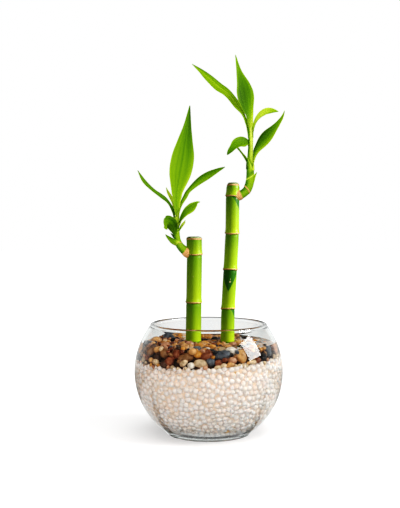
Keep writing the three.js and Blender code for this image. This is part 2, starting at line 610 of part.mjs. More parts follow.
// One cross-section of a blade, its outer face first and then its inner face. It is an arc about
// the stem at the base, which opens to a shallow hollow along the blade.
function bladeSection(leaf, t, thickness, widen) {
  const [x, y, z, half] = smooth(leaf.rib, t);
  const rib = new THREE.Vector3(x, y, z);
  const ahead = new THREE.Vector3(...smooth(leaf.rib, Math.min(t + 0.01, 1)));
  const behind = new THREE.Vector3(...smooth(leaf.rib, Math.max(t - 0.01, 0)));
  const tangent = ahead.sub(behind).normalize();
  const inner = new THREE.Vector3(...smooth(leaf.face, t));
  inner.addScaledVector(tangent, -inner.dot(tangent)).normalize();
  const side = new THREE.Vector3().crossVectors(inner, tangent);
  const opening = THREE.MathUtils.smoothstep(t, 0, SHEATH_SHARE);
  const bend = THREE.MathUtils.degToRad(leaf.wrap + (leaf.fold - leaf.wrap) * opening);
  const [waveHeight, waveCount] = leaf.wave;
  const rippled = waveHeight * Math.sin(2 * Math.PI * waveCount * t) * Math.sin(Math.PI * t);
  const reach = Math.max(half, BLADE_TIP_HALF) + widen;
  const hollow = 1 - 0.5 * opening * (1 - Math.cos(bend));
  const outerFace = [];
  const innerFace = [];
  for (let strip = 0; strip <= BLADE_STRIPS; strip++) {
    const share = (2 * strip) / BLADE_STRIPS - 1;
    const angle = bend * share;
    const sideways = (reach * Math.sin(angle)) / bend;
    const depth = (reach * (hollow - Math.cos(angle))) / bend + rippled * share * share * Math.sign(share);
    const normal = inner.clone().multiplyScalar(Math.cos(angle)).addScaledVector(side, -Math.sin(angle));
    const middle = rib.clone().addScaledVector(side, sideways).addScaledVector(inner, depth);
    outerFace.push(middle.clone().addScaledVector(normal, -thickness / 2).toArray());
    innerFace.push(middle.clone().addScaledVector(normal, thickness / 2).toArray());
  }
  return [...outerFace, ...innerFace.reverse()];
}

// A blade whose two faces are split into triangles alike, so that they never cross.
function bladeGeometry(leaf, thickness = BLADE_THICKNESS, widen = 0) {
  const rings = [];
  for (let step = 0; step <= leaf.steps; step++) {
    rings.push(bladeSection(leaf, step / leaf.steps, thickness, widen));
  }
  const size = rings[0].length;
  const points = rings.flat();
  const triangles = [];
  for (let row = 0; row < leaf.steps; row++) {
    for (let side = 0; side < size; side++) {
      const next = (side + 1) % size;
      const low = row * size;
      const high = low + size;
      const [a, b, c, d] = [low + side, low + next, high + next, high + side];
      if (side <= BLADE_STRIPS) triangles.push([a, b, c], [a, c, d]);
      else triangles.push([a, b, d], [b, c, d]);
    }
  }
  for (let strip = 0; strip < BLADE_STRIPS; strip++) {
    const low = [strip, strip + 1, size - 2 - strip, size - 1 - strip];
    const high = low.map((index) => index + leaf.steps * size);
    triangles.push([low[0], low[2], low[1]], [low[0], low[3], low[2]]);
    triangles.push([high[0], high[1], high[2]], [high[0], high[2], high[3]]);
  }
  return meshGeometry(points, triangles);
}

// Each leaf is trimmed clear of its stem and of the leaves before it.
function leafSolids() {
  const solids = {};
  for (const [name, leaf] of Object.entries(LEAVES)) {
    let solid = toSolid(bladeGeometry(leaf));
    solid = solid.subtract(toSolid(shootGeometry(SHOOTS[leaf.stem], CLEARANCE)));
    for (const earlier of Object.keys(solids)) {
      if (LEAVES[earlier].stem !== leaf.stem) continue;
      const guard = bladeGeometry(LEAVES[earlier], BLADE_THICKNESS + 2 * CLEARANCE, CLEARANCE);
      solid = solid.subtract(toSolid(guard));
    }
    solids[name] = largestBody(solid);
  }
  return solids;
}

// ---- Assembly ----

const plant = new THREE.Group();

function addPiece(name, geometry, colour) {
  const material = new THREE.MeshStandardMaterial(COLOURS[colour]);
  if (colour === 'glass' || colour === 'water') {
    material.transparent = true;
    material.opacity = 0.35;
  }
  const mesh = new THREE.Mesh(geometry, material);
  mesh.name = name;
  plant.add(mesh);
}

addPiece('bowl', bowlGeometry(), 'glass');
addPiece('gravel_bed', toGeometry(gravelSolid()), 'gravel');
addPiece('pebble_layer', toGeometry(pebbleLayerSolid()), 'pebble');
addPiece('water', toGeometry(waterSolid()), 'water');
for (const [name, cane] of Object.entries(CANES)) {
  addPiece(name, caneGeometry(cane), 'cane');
  addPiece(name.replace('cane', 'wax_cap'), waxGeometry(cane), 'wax');
}
for (const name of Object.keys(SHOOTS)) {
  addPiece(name, toGeometry(shootSolid(name)), 'shoot');
}
for (const [name, solid] of Object.entries(leafSolids())) {
  addPiece(name, toGeometry(solid), 'leaf');
}

export default plant;
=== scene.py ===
"""Lucky bamboo in a round glass bowl, with white gravel, river pebbles and water.

Shapes are worked out in millimetres, with +Z up and the front towards -Y, and turned into
metres when a mesh is made. The origin is the centre of the bowl's flat base.
"""

import json
import math

import bmesh
import bpy
import numpy as np
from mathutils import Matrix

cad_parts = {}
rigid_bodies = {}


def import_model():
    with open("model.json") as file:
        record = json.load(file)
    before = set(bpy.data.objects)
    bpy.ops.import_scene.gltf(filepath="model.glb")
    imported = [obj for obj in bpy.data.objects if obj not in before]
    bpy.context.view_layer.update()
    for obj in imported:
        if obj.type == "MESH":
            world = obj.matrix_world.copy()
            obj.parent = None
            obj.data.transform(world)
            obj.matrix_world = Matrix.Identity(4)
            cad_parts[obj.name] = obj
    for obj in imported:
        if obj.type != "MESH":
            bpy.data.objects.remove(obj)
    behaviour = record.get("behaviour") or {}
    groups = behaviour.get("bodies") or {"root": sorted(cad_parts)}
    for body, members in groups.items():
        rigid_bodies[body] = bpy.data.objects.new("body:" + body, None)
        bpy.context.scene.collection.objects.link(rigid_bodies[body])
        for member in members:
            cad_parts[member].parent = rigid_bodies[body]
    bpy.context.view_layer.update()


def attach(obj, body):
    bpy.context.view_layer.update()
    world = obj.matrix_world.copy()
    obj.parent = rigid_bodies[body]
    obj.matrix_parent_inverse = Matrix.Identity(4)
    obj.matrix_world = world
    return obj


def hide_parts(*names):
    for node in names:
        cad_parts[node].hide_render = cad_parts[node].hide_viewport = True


MM = 0.001

# ---- Driving dimensions ----
#
# They are the solid model's, but for the wider bases of leaf_s2_short, leaf_s5_upright and
# bract_t1, the outer third of leaf_t4_left, and the fuller top of the tall cane.

BOWL_RADIUS = 63.5
BOWL_CENTRE_Z = 53.5
BOWL_WALL = 2.6
FOOT_EDGE_RADIUS = 1.5
LIP_RADIUS = 1.5
LIP_CENTRE = (48.6, 92.8)
CAVITY_RADIUS = BOWL_RADIUS - BOWL_WALL
CAVITY_FLOOR_Z = 7.0
CAVITY_FLOOR_RADIUS = 26.0
CAVITY_CORNER_TOP_Z = 20.0
GRAVEL_TOP_Z = 64.6
GRAVEL_TILT = 2.6
PEBBLE_TOP_Z = 79.0
PEBBLE_TILT = 1.8
WATER_Z = 77.2
RING_HEIGHT = 0.55

CANES = {
    "cane_short": {
        "radius": 6.65,
        "axis": [(-13.2, 0, 16), (-13.0, 0, 82), (-12.7, 0, 112.2), (-12.1, 0, 153.4), (-12.4, 0, 167)],
        "rings": [112.4, 153.2],
        "taper": [(16, 1), (100, 1), (150, 0.98), (167, 1)],
        "patches": [],
        "scars": [(-8, 134.5, 0.5)],
    },
    "cane_tall": {
        "radius": 5.85,
        "axis": [(15.9, 0, 13), (16.2, 0, 82), (16.6, 0, 107), (18.5, 0, 140.6), (20.1, 0, 171.4),
                 (20.4, 0, 202.9), (20.8, 0, 213)],
        "rings": [107.1, 140.6, 171.4, 203.2],
        "taper": [(13, 1), (140, 1), (200, 0.99), (210, 0.97), (213, 0.84)],
        "patches": [(107.1, 105, 90, 13), (140.6, -8, 95, 19.5), (203.2, 112, 122, 19)],
        "scars": [(4, 132.2, 0.55), (2, 130.0, 0.9)],
    },
}
WAX_HEIGHT = 1.3
WAX_GAP = 0.3

# Shoot stems: axis points (x, y, z, radius).
SHOOTS = {
    "shoot_short": [(-12.5, 0, 153.8, 4.2), (-17.6, 0, 155.0, 4.4), (-20.1, 0, 156.3, 3.9),
                    (-22.8, 0, 158.5, 3.4), (-25.2, 0, 161.6, 3.0), (-26.5, 0, 165.4, 2.6),
                    (-27.1, 0, 169.3, 2.4), (-27.6, 0, 173.0, 2.2), (-27.8, 0, 177.0, 1.9),
                    (-27.8, 0, 181.5, 1.7), (-27.8, 0.6, 185.2, 1.5)],
    "shoot_tall": [(20.5, 0, 203.2, 4.0), (26.0, 0, 203.8, 4.1), (27.8, 0, 204.2, 3.5),
                   (30.4, 0, 205.8, 3.3), (33.2, 0, 209.0, 3.4), (35.1, 0, 215.6, 3.4),
                   (35.4, 0, 225.3, 3.2), (35.3, 0, 232.6, 2.8), (35.5, 0, 239.9, 2.3),
                   (35.7, 0, 247.2, 2.0), (35.6, 0, 254.5, 1.9), (35.3, 0.4, 261.0, 1.7)],
}

# Leaves: midrib points (x, y, z, half width), and the directions that the blade's inner face
# looks along, from base to tip. `wrap` and `fold` are the half angle of the blade's arc at the
# base and farther out, in degrees, and `wave` is the height and count of its ripples.
# `tones_and_shade` run from 0 for dark to 1 for bright green, at the left edge, the midrib and the
# right edge, from base to tip. They are partly the blade's own green and partly painted light and
# shade, such as a lit half and a shaded half. Blended tones beyond 0 and 1 count as 0 and 1.
# `pale_and_lit` lightens the base.
LEAVES = {
    "leaf_s1_curled": {
        "stem": "shoot_short", "wrap": 75, "fold": 30, "wave": (0.3, 2),
        "tones_and_shade": [(0.55, 0.4, 0.05), (0.15, 0.45, 0.75), (1.2, 0.95, 0.6)], "pale_and_lit": 0,
        "face": [(0.2, 1, 0.1), (0.2, 1, 0.2), (0.4, 1, 0.2), (0.7, 0.9, 0.1), (1, 0.3, 0.1),
                 (1, -0.6, 0.1)],
        "rib": [(-28.5, -2.2, 169.5, 2.1), (-29.7, -4.4, 172.7, 3.4), (-30.9, -7, 176.2, 5.2),
                (-32.6, -9.4, 179, 7), (-35, -10.6, 180.2, 6.4), (-37.1, -8.6, 180.1, 4.7),
                (-37.7, -4.4, 181.6, 2.8), (-36.1, -1.8, 183.5, 0.3)],
    },
    "leaf_s2_short": {
        "stem": "shoot_short", "wrap": 70, "fold": 20, "wave": (0.3, 2),
        "tones_and_shade": [(0.55, 0.1, 1.1), (0.65, 0.4, 0.9), (1.05, 0.45, 0.9)], "pale_and_lit": 0,
        "face": [(-1, 0.5, 0.2), (-0.6, -0.6, 0.6), (-0.3, -0.9, 0.5), (-0.3, -0.9, 0.5)],
        "rib": [(-26.2, -1.2, 173.9, 2.2), (-24.6, -2.4, 179.1, 3.3), (-22.6, -4.2, 184.5, 4.3),
                (-19.2, -6.6, 189.2, 4.9), (-15.1, -8.8, 192.3, 4.6), (-12.1, -10.2, 194.9, 3.3),
                (-9.7, -11.4, 197.1, 1.4), (-7.4, -12, 197.6, 0.3)],
    },
    "leaf_s3_right": {
        "stem": "shoot_short", "wrap": 60, "fold": 24, "wave": (0.3, 3),
        "tones_and_shade": [(1.2, 0.5, 0.85), (0.1, 0.6, 0.75), (0.35, 0.35, 0.55)], "pale_and_lit": 0.3,
        "face": [(-1, -0.4, 0.2), (-0.7, -0.6, 0.6), (-0.4, -0.65, 0.65)],
        "rib": [(-25.7, 0.6, 185, 1.8), (-25.1, 1.4, 189.3, 2.1), (-24.2, 2.4, 193.2, 2.5),
                (-22.3, 3.6, 197.7, 2.8), (-20, 4.8, 202, 3), (-16.8, 6.2, 207.4, 3.8),
                (-8.2, 8, 215.2, 5.4), (0, 9.4, 220.8, 5.2), (7.6, 10.3, 225, 3.2),
                (14.2, 10.8, 228.2, 0.4)],
    },
    "leaf_s4_left": {
        "stem": "shoot_short", "wrap": 60, "fold": 30, "wave": (0.3, 3),
        "tones_and_shade": [(-0.2, -0.2, -0.2), (0.15, 0.3, 0.2), (0.5, 0.45, 0.35)], "pale_and_lit": 0,
        "face": [(1, -0.3, 0.2), (0.8, -0.5, 0.5), (0.5, -0.6, 0.6), (0.45, -0.6, 0.7)],
        "rib": [(-29.4, 0.2, 182, 1.7), (-29.9, -0.6, 186.5, 2), (-30.9, -1.6, 190.8, 2.5),
                (-32.8, -2.6, 195, 2.6), (-36.1, -3.6, 199.3, 2.5), (-41.3, -4.8, 203.4, 2.4),
                (-47.1, -5.8, 207.6, 2.5), (-54.6, -7.6, 215, 2.4), (-59.9, -9, 224.2, 0.4)],
    },
    "leaf_s5_upright": {
        "stem": "shoot_short", "wrap": 60, "fold": 16, "wave": (0.35, 2.5),
        "tones_and_shade": [(0.55, 0.55, 0.95), (0.8, 0.55, 0.8), (0.35, 0.25, -0.2)], "pale_and_lit": 0.4,
        "face": [(0.2, -1, 0), (0.2, -1, 0.1), (0.1, -1, 0.25)],
        "rib": [(-26.9, 2, 182.5, 1.9), (-26.9, 2.6, 187.7, 2.1), (-27.3, 3.6, 195.8, 3),
                (-27.1, 4.6, 202, 4), (-26.9, 5.6, 208.2, 5.5), (-24.6, 6.6, 222.4, 9.6),
                (-22.1, 8.4, 236.6, 9.8), (-20.2, 10.2, 250, 6.8), (-18.2, 12.4, 264, 3.4),
                (-16.2, 15.4, 281.4, 0.4)],
    },
    "leaf_s6_young": {
        "stem": "shoot_short", "wrap": 50, "fold": 26, "wave": (0.1, 2),
        "tones_and_shade": [(0.75, 0.75, 0.7), (1.1, 1.2, 1.15), (0.95, 0.95, 0.9)], "pale_and_lit": 0.2,
        "face": [(0.8, -0.6, 0.2), (0.5, -1, 0.3)],
        "rib": [(-28.9, 1.8, 186.8, 1.1), (-29.7, 3.4, 192.2, 1.1), (-30.7, 5.4, 197.1, 1.3),
                (-32.7, 7.8, 202.1, 2), (-34.7, 10, 205.9, 1.4), (-36.8, 12.6, 210.7, 0.2)],
    },
    "leaf_s7_small": {
        "stem": "shoot_short", "wrap": 60, "fold": 26, "wave": (0.1, 2),
        "tones_and_shade": [(0.2, 0.2, 0.4), (0.8, 1.05, 1.2), (1.05, 1.05, 1.2)], "pale_and_lit": 0.3,
        "face": [(-1, -0.4, 0.3), (-0.6, -0.8, 0.4)],
        "rib": [(-25.9, 1, 170.5, 1.1), (-24.8, 2, 173.9, 1.6), (-23.2, 3.4, 176.7, 2.4),
                (-21.7, 4.8, 179.2, 2), (-20.6, 6, 181.1, 0.9), (-20.1, 7, 182.5, 0.2)],
    },
    "bract_s1": {
        "stem": "shoot_short", "wrap": 60, "fold": 30, "wave": (0, 1),
        "tones_and_shade": [(1.1, 0.75, 0.8), (0.05, 0.6, 0.6), (0.45, 0.4, 0.55)], "pale_and_lit": 0.4,
        "face": [(0.4, 1, 0.4), (0.5, 1, 0.5)],
        "rib": [(-27, -2.6, 161.5, 3.4), (-30, -3.2, 163.8, 3.1), (-33, -3.8, 166.4, 2.2),
                (-35.3, -4.2, 168.5, 1.2), (-36.8, -4.4, 170.3, 0.2)],
    },
    "bract_s2": {
        "stem": "shoot_short", "wrap": 55, "fold": 30, "wave": (0, 1),
        "tones_and_shade": [(-0.2, -0.2, 0), (-0.2, -0.2, -0.2), (-0.2, -0.2, -0.2)], "pale_and_lit": 0,
        "face": [(0.5, 1, 0.5), (0.5, 1, 0.5)],
        "rib": [(-27.7, 0.6, 166, 1.6), (-30.1, 1, 168.6, 1.3), (-32.6, 1.4, 171.3, 0.2)],
    },
    "leaf_t1_narrow": {
        "stem": "shoot_tall", "wrap": 60, "fold": 24, "wave": (0.2, 2),
        "tones_and_shade": [(-0.2, -0.2, -0.2), (0.4, 0.7, 0.85), (-0.05, 0.1, 0.1)], "pale_and_lit": 0,
        "face": [(0.9, -0.3, 0.3), (0.5, -0.5, 0.6), (0.4, -0.5, 0.7)],
        "rib": [(33.6, -0.4, 225.7, 2.2), (32.8, 0.8, 231.2, 2), (30.9, 3, 236, 1.8),
                (28.1, 5.6, 240.1, 1.6), (25.3, 9, 244, 1.3), (23.4, 12, 247.2, 0.3)],
    },
    "leaf_t2_drooping": {
        "stem": "shoot_tall", "wrap": 65, "fold": 24, "wave": (0.3, 2),
        "tones_and_shade": [(0.3, 0.35, 0), (0.65, 0.4, 0.6), (-0.15, 0.15, 0.05)], "pale_and_lit": 0.1,
        "face": [(1, -0.2, 0.3), (0.3, -1, 0.5), (-0.2, -1, 0.5), (-0.6, -0.9, 0.3), (-0.6, -0.9, 0.1)],
        "rib": [(33.9, -0.6, 245.5, 2.1), (32.5, -2, 248.1, 3.2), (29.1, -4.4, 248.5, 5.1),
                (24.5, -7.4, 246.9, 5.4), (20.7, -10, 243.4, 3.8), (17.7, -12, 239.9, 2.5),
                (15.5, -13.6, 236.9, 0.6)],
    },
    "leaf_t3_right": {
        "stem": "shoot_tall", "wrap": 65, "fold": 22, "wave": (0.35, 2.5),
        "tones_and_shade": [(0, 1.05, 1.2), (-0.05, 0.35, 0.9), (0.9, 0.7, 0.85)], "pale_and_lit": 0.3,
        "face": [(-1, -0.6, 0.2), (-0.7, -0.7, 0.4), (-0.6, -0.7, 0.4)],
        "rib": [(37.1, -0.6, 224.7, 2.2), (37.9, -1.6, 231.7, 2.5), (39.3, -2.8, 237.9, 3.7),
                (41.7, -4.2, 242.9, 5.1), (45.8, -6, 248.4, 6.8), (50.3, -7.8, 253.7, 6.8),
                (54.5, -9.2, 258.6, 5), (58.6, -10.4, 263.9, 2.8), (61.5, -11.4, 268.6, 1.4),
                (63.4, -12.2, 273.8, 0.3)],
    },
    "leaf_t4_left": {
        "stem": "shoot_tall", "wrap": 60, "fold": 24, "wave": (0.45, 4),
        "tones_and_shade": [(0.45, 0.5, 0.45), (0.6, 0.75, 0.6), (0.65, 0.65, 0)], "pale_and_lit": 0,
        "face": [(1, -0.4, 0.2), (0.45, -0.85, 0.3), (0.4, -0.7, 0.6)],
        "rib": [(33.8, 0.6, 252.4, 1.4), (33.2, 1, 257.2, 1.6), (32.3, 1.6, 263.6, 1.8),
                (30.7, 2.6, 269.2, 2.1), (28.2, 4.2, 274.5, 2.7), (24.6, 7, 280.1, 3.7),
                (19.9, 10.4, 286.9, 4.5), (15.2, 13.6, 292.4, 4.6), (8.4, 18.6, 298, 5.2),
                (0, 23, 306.4, 4.9), (-6.4, 26.2, 312.8, 2.8), (-14.4, 29.2, 319.6, 0.4)],
    },
    "leaf_t5_small": {
        "stem": "shoot_tall", "wrap": 60, "fold": 22, "wave": (0.15, 2),
        "tones_and_shade": [(0.45, 0.65, 0.4), (0.9, 0.95, 0.95), (0.65, 0.5, 0.3)], "pale_and_lit": 0.2,
        "face": [(-1, -0.2, 0.2), (-0.7, -0.6, 0.5), (-0.3, -0.9, 0.7), (0, -0.7, 0.8)],
        "rib": [(37.5, -0.2, 252.4, 1.6), (37.9, -0.9, 258.5, 1.8), (39, -2.2, 264, 2.4),
                (41, -4, 268.2, 3.3), (44.2, -6.4, 271.5, 3.8), (48.1, -8.8, 273.4, 3.8),
                (52, -11.4, 273.5, 3.3), (55.1, -13.2, 273.1, 2), (58, -15, 272.5, 0.3)],
    },
    "leaf_t6_top": {
        "stem": "shoot_tall", "wrap": 60, "fold": 20, "wave": (0.4, 2.5),
        "tones_and_shade": [(0.05, 0.85, 1.2), (0.45, 0.2, 0.5), (0.7, 0.6, 0.55)], "pale_and_lit": 0.4,
        "face": [(0.1, -1, 0), (0.1, -1, 0.1), (0.2, -1, 0.3)],
        "rib": [(35.5, 1.2, 258.2, 2.2), (35.2, 1.8, 265.9, 2.8), (34.7, 2.6, 272.3, 3.5),
                (33.2, 3.6, 278.8, 5.3), (31.9, 4.6, 285.8, 7.2), (30.9, 6, 292.3, 7.3),
                (29.5, 7.6, 298.9, 5.6), (27.3, 9.4, 306, 3.5), (25.5, 11.4, 313.2, 1.9),
                (23.2, 14, 324.8, 0.3)],
    },
    "bract_t1": {
        "stem": "shoot_tall", "wrap": 50, "fold": 40, "wave": (0, 1),
        "tones_and_shade": [(1.2, 1.2, 1.2), (0.95, 0.95, 1.2), (0.55, 0.65, 0.75)], "pale_and_lit": 0.2,
        "face": [(-0.9, -0.8, 0.3), (-0.7, -1, 0.4)],
        "rib": [(38.1, -0.6, 214.5, 1.7), (38.5, -1, 217.7, 1.8), (39.7, -1.4, 220.6, 1.1),
                (41, -1.8, 223.1, 0.2)],
    },
}
SHEATH_SHARE = 0.35
BLADE_TIP_HALF = 0.15
BLADE_THICKNESS = 0.5
BLADE_EDGE_THICKNESS = 0.24
BLADE_STEPS = 72
BLADE_STRIPS = 20

# Pebbles that show from the front: (x, y, z), (half width, half depth, half height), turn in
# degrees as seen from the front, colour.
SHOWN_PEBBLES = [
    ((-45.5, -2.0, 79.2), (5.4, 4.6, 3.6), 15, "tan"),
    ((-35.0, 21.0, 78.6), (6.4, 4.8, 4.0), -24, "slate"),
    ((-51.0, 1.0, 75.4), (4.8, 4.0, 2.8), 0, "umber"),
    ((-30.0, 12.0, 77.4), (3.4, 3.4, 2.6), 0, "charcoal"),
    ((-24.5, 37.0, 77.6), (4.4, 4.0, 3.2), 10, "orange"),
    ((-31.4, 46.0, 77.6), (3.0, 3.0, 2.0), 0, "tan"),
    ((-35.5, -24.7, 77.6), (4.3, 4.2, 3.2), 0, "rose"),
    ((-23.4, 6.0, 76.0), (4.2, 4.0, 2.6), 8, "umber"),
    ((-19.2, -38.5, 77.8), (3.7, 3.7, 3.6), 0, "tan"),
    ((-15.6, -22.6, 78.8), (3.6, 3.4, 3.0), 0, "rose"),
    ((-29.6, -34.8, 76.2), (3.4, 3.2, 2.8), 20, "brown"),
    ((-5.6, -18.9, 77.8), (3.5, 3.4, 2.9), -15, "tan"),
    ((-3.3, -35.0, 76.4), (3.7, 3.4, 2.4), 0, "umber"),
    ((2.6, -27.4, 77.4), (4.4, 3.2, 2.2), 10, "orange"),
    ((7.6, -33.0, 76.4), (3.0, 3.0, 2.0), 12, "orange"),
    ((8.6, -12.4, 76.6), (2.5, 2.8, 3.0), 0, "orange"),
    ((12.2, -9.0, 76.8), (2.5, 2.6, 2.6), 30, "tan"),
    ((16.3, -23.6, 76.4), (3.0, 2.8, 2.4), 0, "tan"),
    ((20.2, -13.6, 77.2), (2.9, 2.8, 2.5), 20, "rose"),
    ((25.4, -4.4, 77.4), (3.4, 3.4, 2.6), 25, "tan"),
    ((26.6, -22.0, 75.4), (5.0, 4.6, 3.4), 20, "charcoal"),
    ((0.4, 37.5, 77.2), (4.6, 4.2, 2.6), 0, "rose"),
    ((5.8, 21.4, 76.8), (4.0, 3.8, 2.8), -10, "charcoal"),
    ((10.0, 40.0, 76.8), (3.2, 3.2, 2.2), 0, "tan"),
    ((-1.4, 13.0, 76.4), (4.0, 3.8, 2.4), 0, "charcoal"),
    ((-34.0, -40.0, 73.4), (5.2, 4.2, 4.2), -12, "brown"),
    ((-45.6, -27.5, 73.4), (4.9, 4.2, 3.9), 12, "brown"),
    ((-54.4, -11.0, 73.4), (3.4, 4.6, 4.6), 0, "orange"),
    ((-24.6, -46.4, 74.0), (3.7, 3.3, 3.8), 0, "rust"),
    ((-40.0, -37.4, 70.8), (3.5, 3.2, 3.3), 0, "umber"),
    ((-17.6, -49.6, 71.8), (6.6, 4.0, 3.9), 8, "brown"),
    ((-8.4, -50.8, 74.4), (4.4, 3.6, 3.0), 0, "orange"),
    ((-1.4, -52.6, 73.6), (4.8, 3.6, 3.1), 14, "rust"),
    ((10.4, -51.0, 74.2), (6.6, 4.2, 3.8), 12, "slate"),
    ((1.2, -54.4, 69.4), (3.4, 3.2, 3.4), 0, "slate"),
    ((6.9, -54.6, 68.6), (3.3, 3.1, 2.9), 0, "rust"),
    ((12.3, -53.4, 71.0), (3.0, 2.9, 2.6), 10, "rust"),
    ((17.6, -52.2, 70.0), (3.9, 3.3, 2.9), -15, "rose"),
    ((24.8, -46.8, 72.2), (5.8, 4.4, 4.6), -35, "tan"),
    ((16.9, -53.8, 66.9), (2.9, 2.6, 2.2), 0, "tan"),
    ((11.3, -55.2, 66.0), (2.6, 2.5, 2.1), 0, "cream"),
    ((6.6, -56.2, 65.3), (2.8, 2.4, 1.8), 15, "cream"),
    ((-6.6, -54.4, 67.8), (5.4, 3.4, 3.3), -10, "cream"),
    ((-14.0, -54.6, 66.6), (2.9, 2.7, 2.5), 0, "white"),
    ((-19.9, -52.2, 67.9), (3.4, 3.0, 2.8), 30, "cream"),
    ((-30.7, -46.2, 68.4), (4.5, 3.6, 3.6), 20, "rust"),
    ((-34.8, -44.6, 65.9), (4.4, 3.4, 2.9), 8, "umber"),
    ((-41.8, -38.6, 66.6), (3.5, 3.0, 2.3), -15, "cream"),
    ((-48.6, -27.6, 68.6), (3.0, 2.8, 3.0), 0, "rust"),
    ((-51.6, -22.6, 66.4), (2.6, 2.4, 2.5), 0, "cream"),
    ((-45.6, -33.8, 67.6), (2.7, 2.5, 2.1), 0, "tan"),
    ((-56.8, -9.0, 67.9), (2.4, 3.0, 3.6), 0, "umber"),
    ((38.0, -41.4, 68.4), (3.4, 2.9, 2.4), 12, "rust"),
    ((42.8, -36.0, 70.2), (3.4, 3.0, 2.5), 20, "charcoal"),
    ((46.6, -27.0, 73.0), (3.9, 3.4, 4.6), 0, "slate"),
    ((52.4, -15.6, 72.6), (3.3, 3.6, 5.0), 0, "rose"),
    ((56.0, -5.0, 73.4), (2.6, 4.0, 4.6), 0, "brown"),
    ((29.8, -45.2, 73.8), (3.1, 3.0, 3.0), 0, "umber"),
    ((34.2, -44.6, 67.6), (2.6, 2.4, 1.9), 0, "cream"),
]

STONE_COLOURS = {
    "tan": (0.64, 0.34, 0.14),
    "orange": (0.60, 0.27, 0.065),
    "brown": (0.30, 0.155, 0.072),
    "rust": (0.24, 0.082, 0.040),
    "umber": (0.105, 0.058, 0.040),
    "charcoal": (0.032, 0.032, 0.036),
    "slate": (0.115, 0.13, 0.155),
    "rose": (0.60, 0.31, 0.19),
    "cream": (0.72, 0.53, 0.34),
    "white": (0.78, 0.72, 0.64),
}

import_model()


# ---- Small maths ----


def unit(vectors):
    return vectors / np.maximum(np.linalg.norm(vectors, axis=-1, keepdims=True), 1e-12)


def smoothstep(value, low, high):
    share = np.clip((value - low) / (high - low), 0, 1)
    return share * share * (3 - 2 * share)


def smooth_rows(rows, t):
    """A smooth curve through rows of numbers, at each t from 0 to 1."""
    rows = np.asarray(rows, float)
    spans = len(rows) - 1
    span = np.minimum((t * spans).astype(int), spans - 1)
    u = (t * spans - span)[:, None]
    padded = np.vstack([2 * rows[0] - rows[1], rows, 2 * rows[-1] - rows[-2]])
    a, b, c, d = (padded[span + k] for k in range(4))
    return b + 0.5 * u * (c - a + u * (2 * a - 5 * b + 4 * c - d + u * (3 * (b - c) + d - a)))


def tangents(rows, t):
    """Unit directions along a smooth curve, taken over a hundredth of it to each side."""
    ahead = smooth_rows(rows, np.minimum(t + 0.01, 1))[:, :3]
    behind = smooth_rows(rows, np.maximum(t - 0.01, 0))[:, :3]
    return unit(ahead - behind)


def link_object(name, data):
    obj = bpy.data.objects.new(name, data)
    bpy.context.scene.collection.objects.link(obj)
    return obj


def ripple(angle, seed, waves=5):
    """A smooth closed ripple of an angle, about 1 high."""
    draws = np.random.default_rng(seed)
    total = np.zeros_like(angle)
    for count in range(1, waves + 1):
        total += draws.normal() * np.cos(count * angle + draws.uniform(0, 2 * math.pi)) / count
    return total / 1.4


# ---- Meshes ----


def add_object(name, points, faces):
    """A smooth mesh object from points in millimetres. faces is a list of index arrays."""
    mesh = bpy.data.meshes.new(name)
    rows = [row for block in faces for row in np.asarray(block).tolist()]
    mesh.from_pydata((np.asarray(points, float) * MM).tolist(), [], rows)
    mesh.polygons.foreach_set("use_smooth", [True] * len(mesh.polygons))
    mesh.update()
    return link_object(name, mesh)


def set_values(obj, name, values):
    """Stores one number, or one colour, for each point of a mesh."""
    values = np.asarray(values, np.float32)
    if values.ndim == 1:
        layer = obj.data.attributes.new(name, "FLOAT", "POINT")
        layer.data.foreach_set("value", values)
    else:
        layer = obj.data.attributes.new(name, "FLOAT_COLOR", "POINT")
        opaque = np.hstack([values, np.ones((len(values), 1), np.float32)])
        layer.data.foreach_set("color", opaque.ravel())


def set_tube_values(obj, looks):
    """Stores numbers by name for the ring points of a tube. Its two end points get 0."""
    for name, values in looks.items():
        set_values(obj, name, np.append(values.ravel(), [0, 0]))


def set_uv(obj, uv):
    layer = obj.data.uv_layers.new(name="blade")
    corners = np.empty(len(obj.data.loops), np.int32)
    obj.data.loops.foreach_get("vertex_index", corners)
    layer.data.foreach_set("uv", np.asarray(uv, np.float32)[corners].ravel())


def grid_faces(rows, columns, wrap=False, flip=False, first=0):
    """Quads over a grid of rows by columns points. With wrap, the last column joins the first."""
    low = np.arange(rows - 1)[:, None] * columns
    side = np.arange(columns if wrap else columns - 1)[None, :]
    after = (side + 1) % columns
    quads = np.stack([low + side, low + after, low + columns + after, low + columns + side], -1)
    quads = quads.reshape(-1, 4) + first
    return quads[:, ::-1] if flip else quads


def angles_around(sides):
    return np.linspace(0, 2 * math.pi, sides, endpoint=False)


def circle(radius, z, sides, centre=(0, 0)):
    """Points around a centre. The radius, z and the centre can differ from point to point."""
    angle = angles_around(sides)
    x = centre[0] + radius * np.cos(angle)
    y = centre[1] + radius * np.sin(angle)
    return np.stack([x, y, z + 0 * angle], -1)


def turned(name, profile, sides):
    """A closed solid of revolution about Z from (radius, z) points, the first and last on the axis."""
    radius, z = profile[1:-1].T[..., None]
    return tube(name, circle(radius, z, sides), [(0, 0, profile[0, 1]), (0, 0, profile[-1, 1])])


def tube(name, rings, ends=None):
    """A closed skin over rings of points that run anticlockwise as seen from the end. It ends in
    two points: the given ones, or the middles of the first and the last ring."""
    rows, columns = rings.shape[:2]
    ends = (rings[0].mean(0), rings[-1].mean(0)) if ends is None else ends
    side = np.arange(columns)
    after = (side + 1) % columns
    first = rows * columns
    last = first - columns
    start = np.stack([np.full(columns, first), after, side], -1)
    end = np.stack([np.full(columns, first + 1), last + side, last + after], -1)
    points = np.vstack([rings.reshape(-1, 3), *ends])
    return add_object(name, points, [grid_faces(rows, columns, wrap=True), start, end])


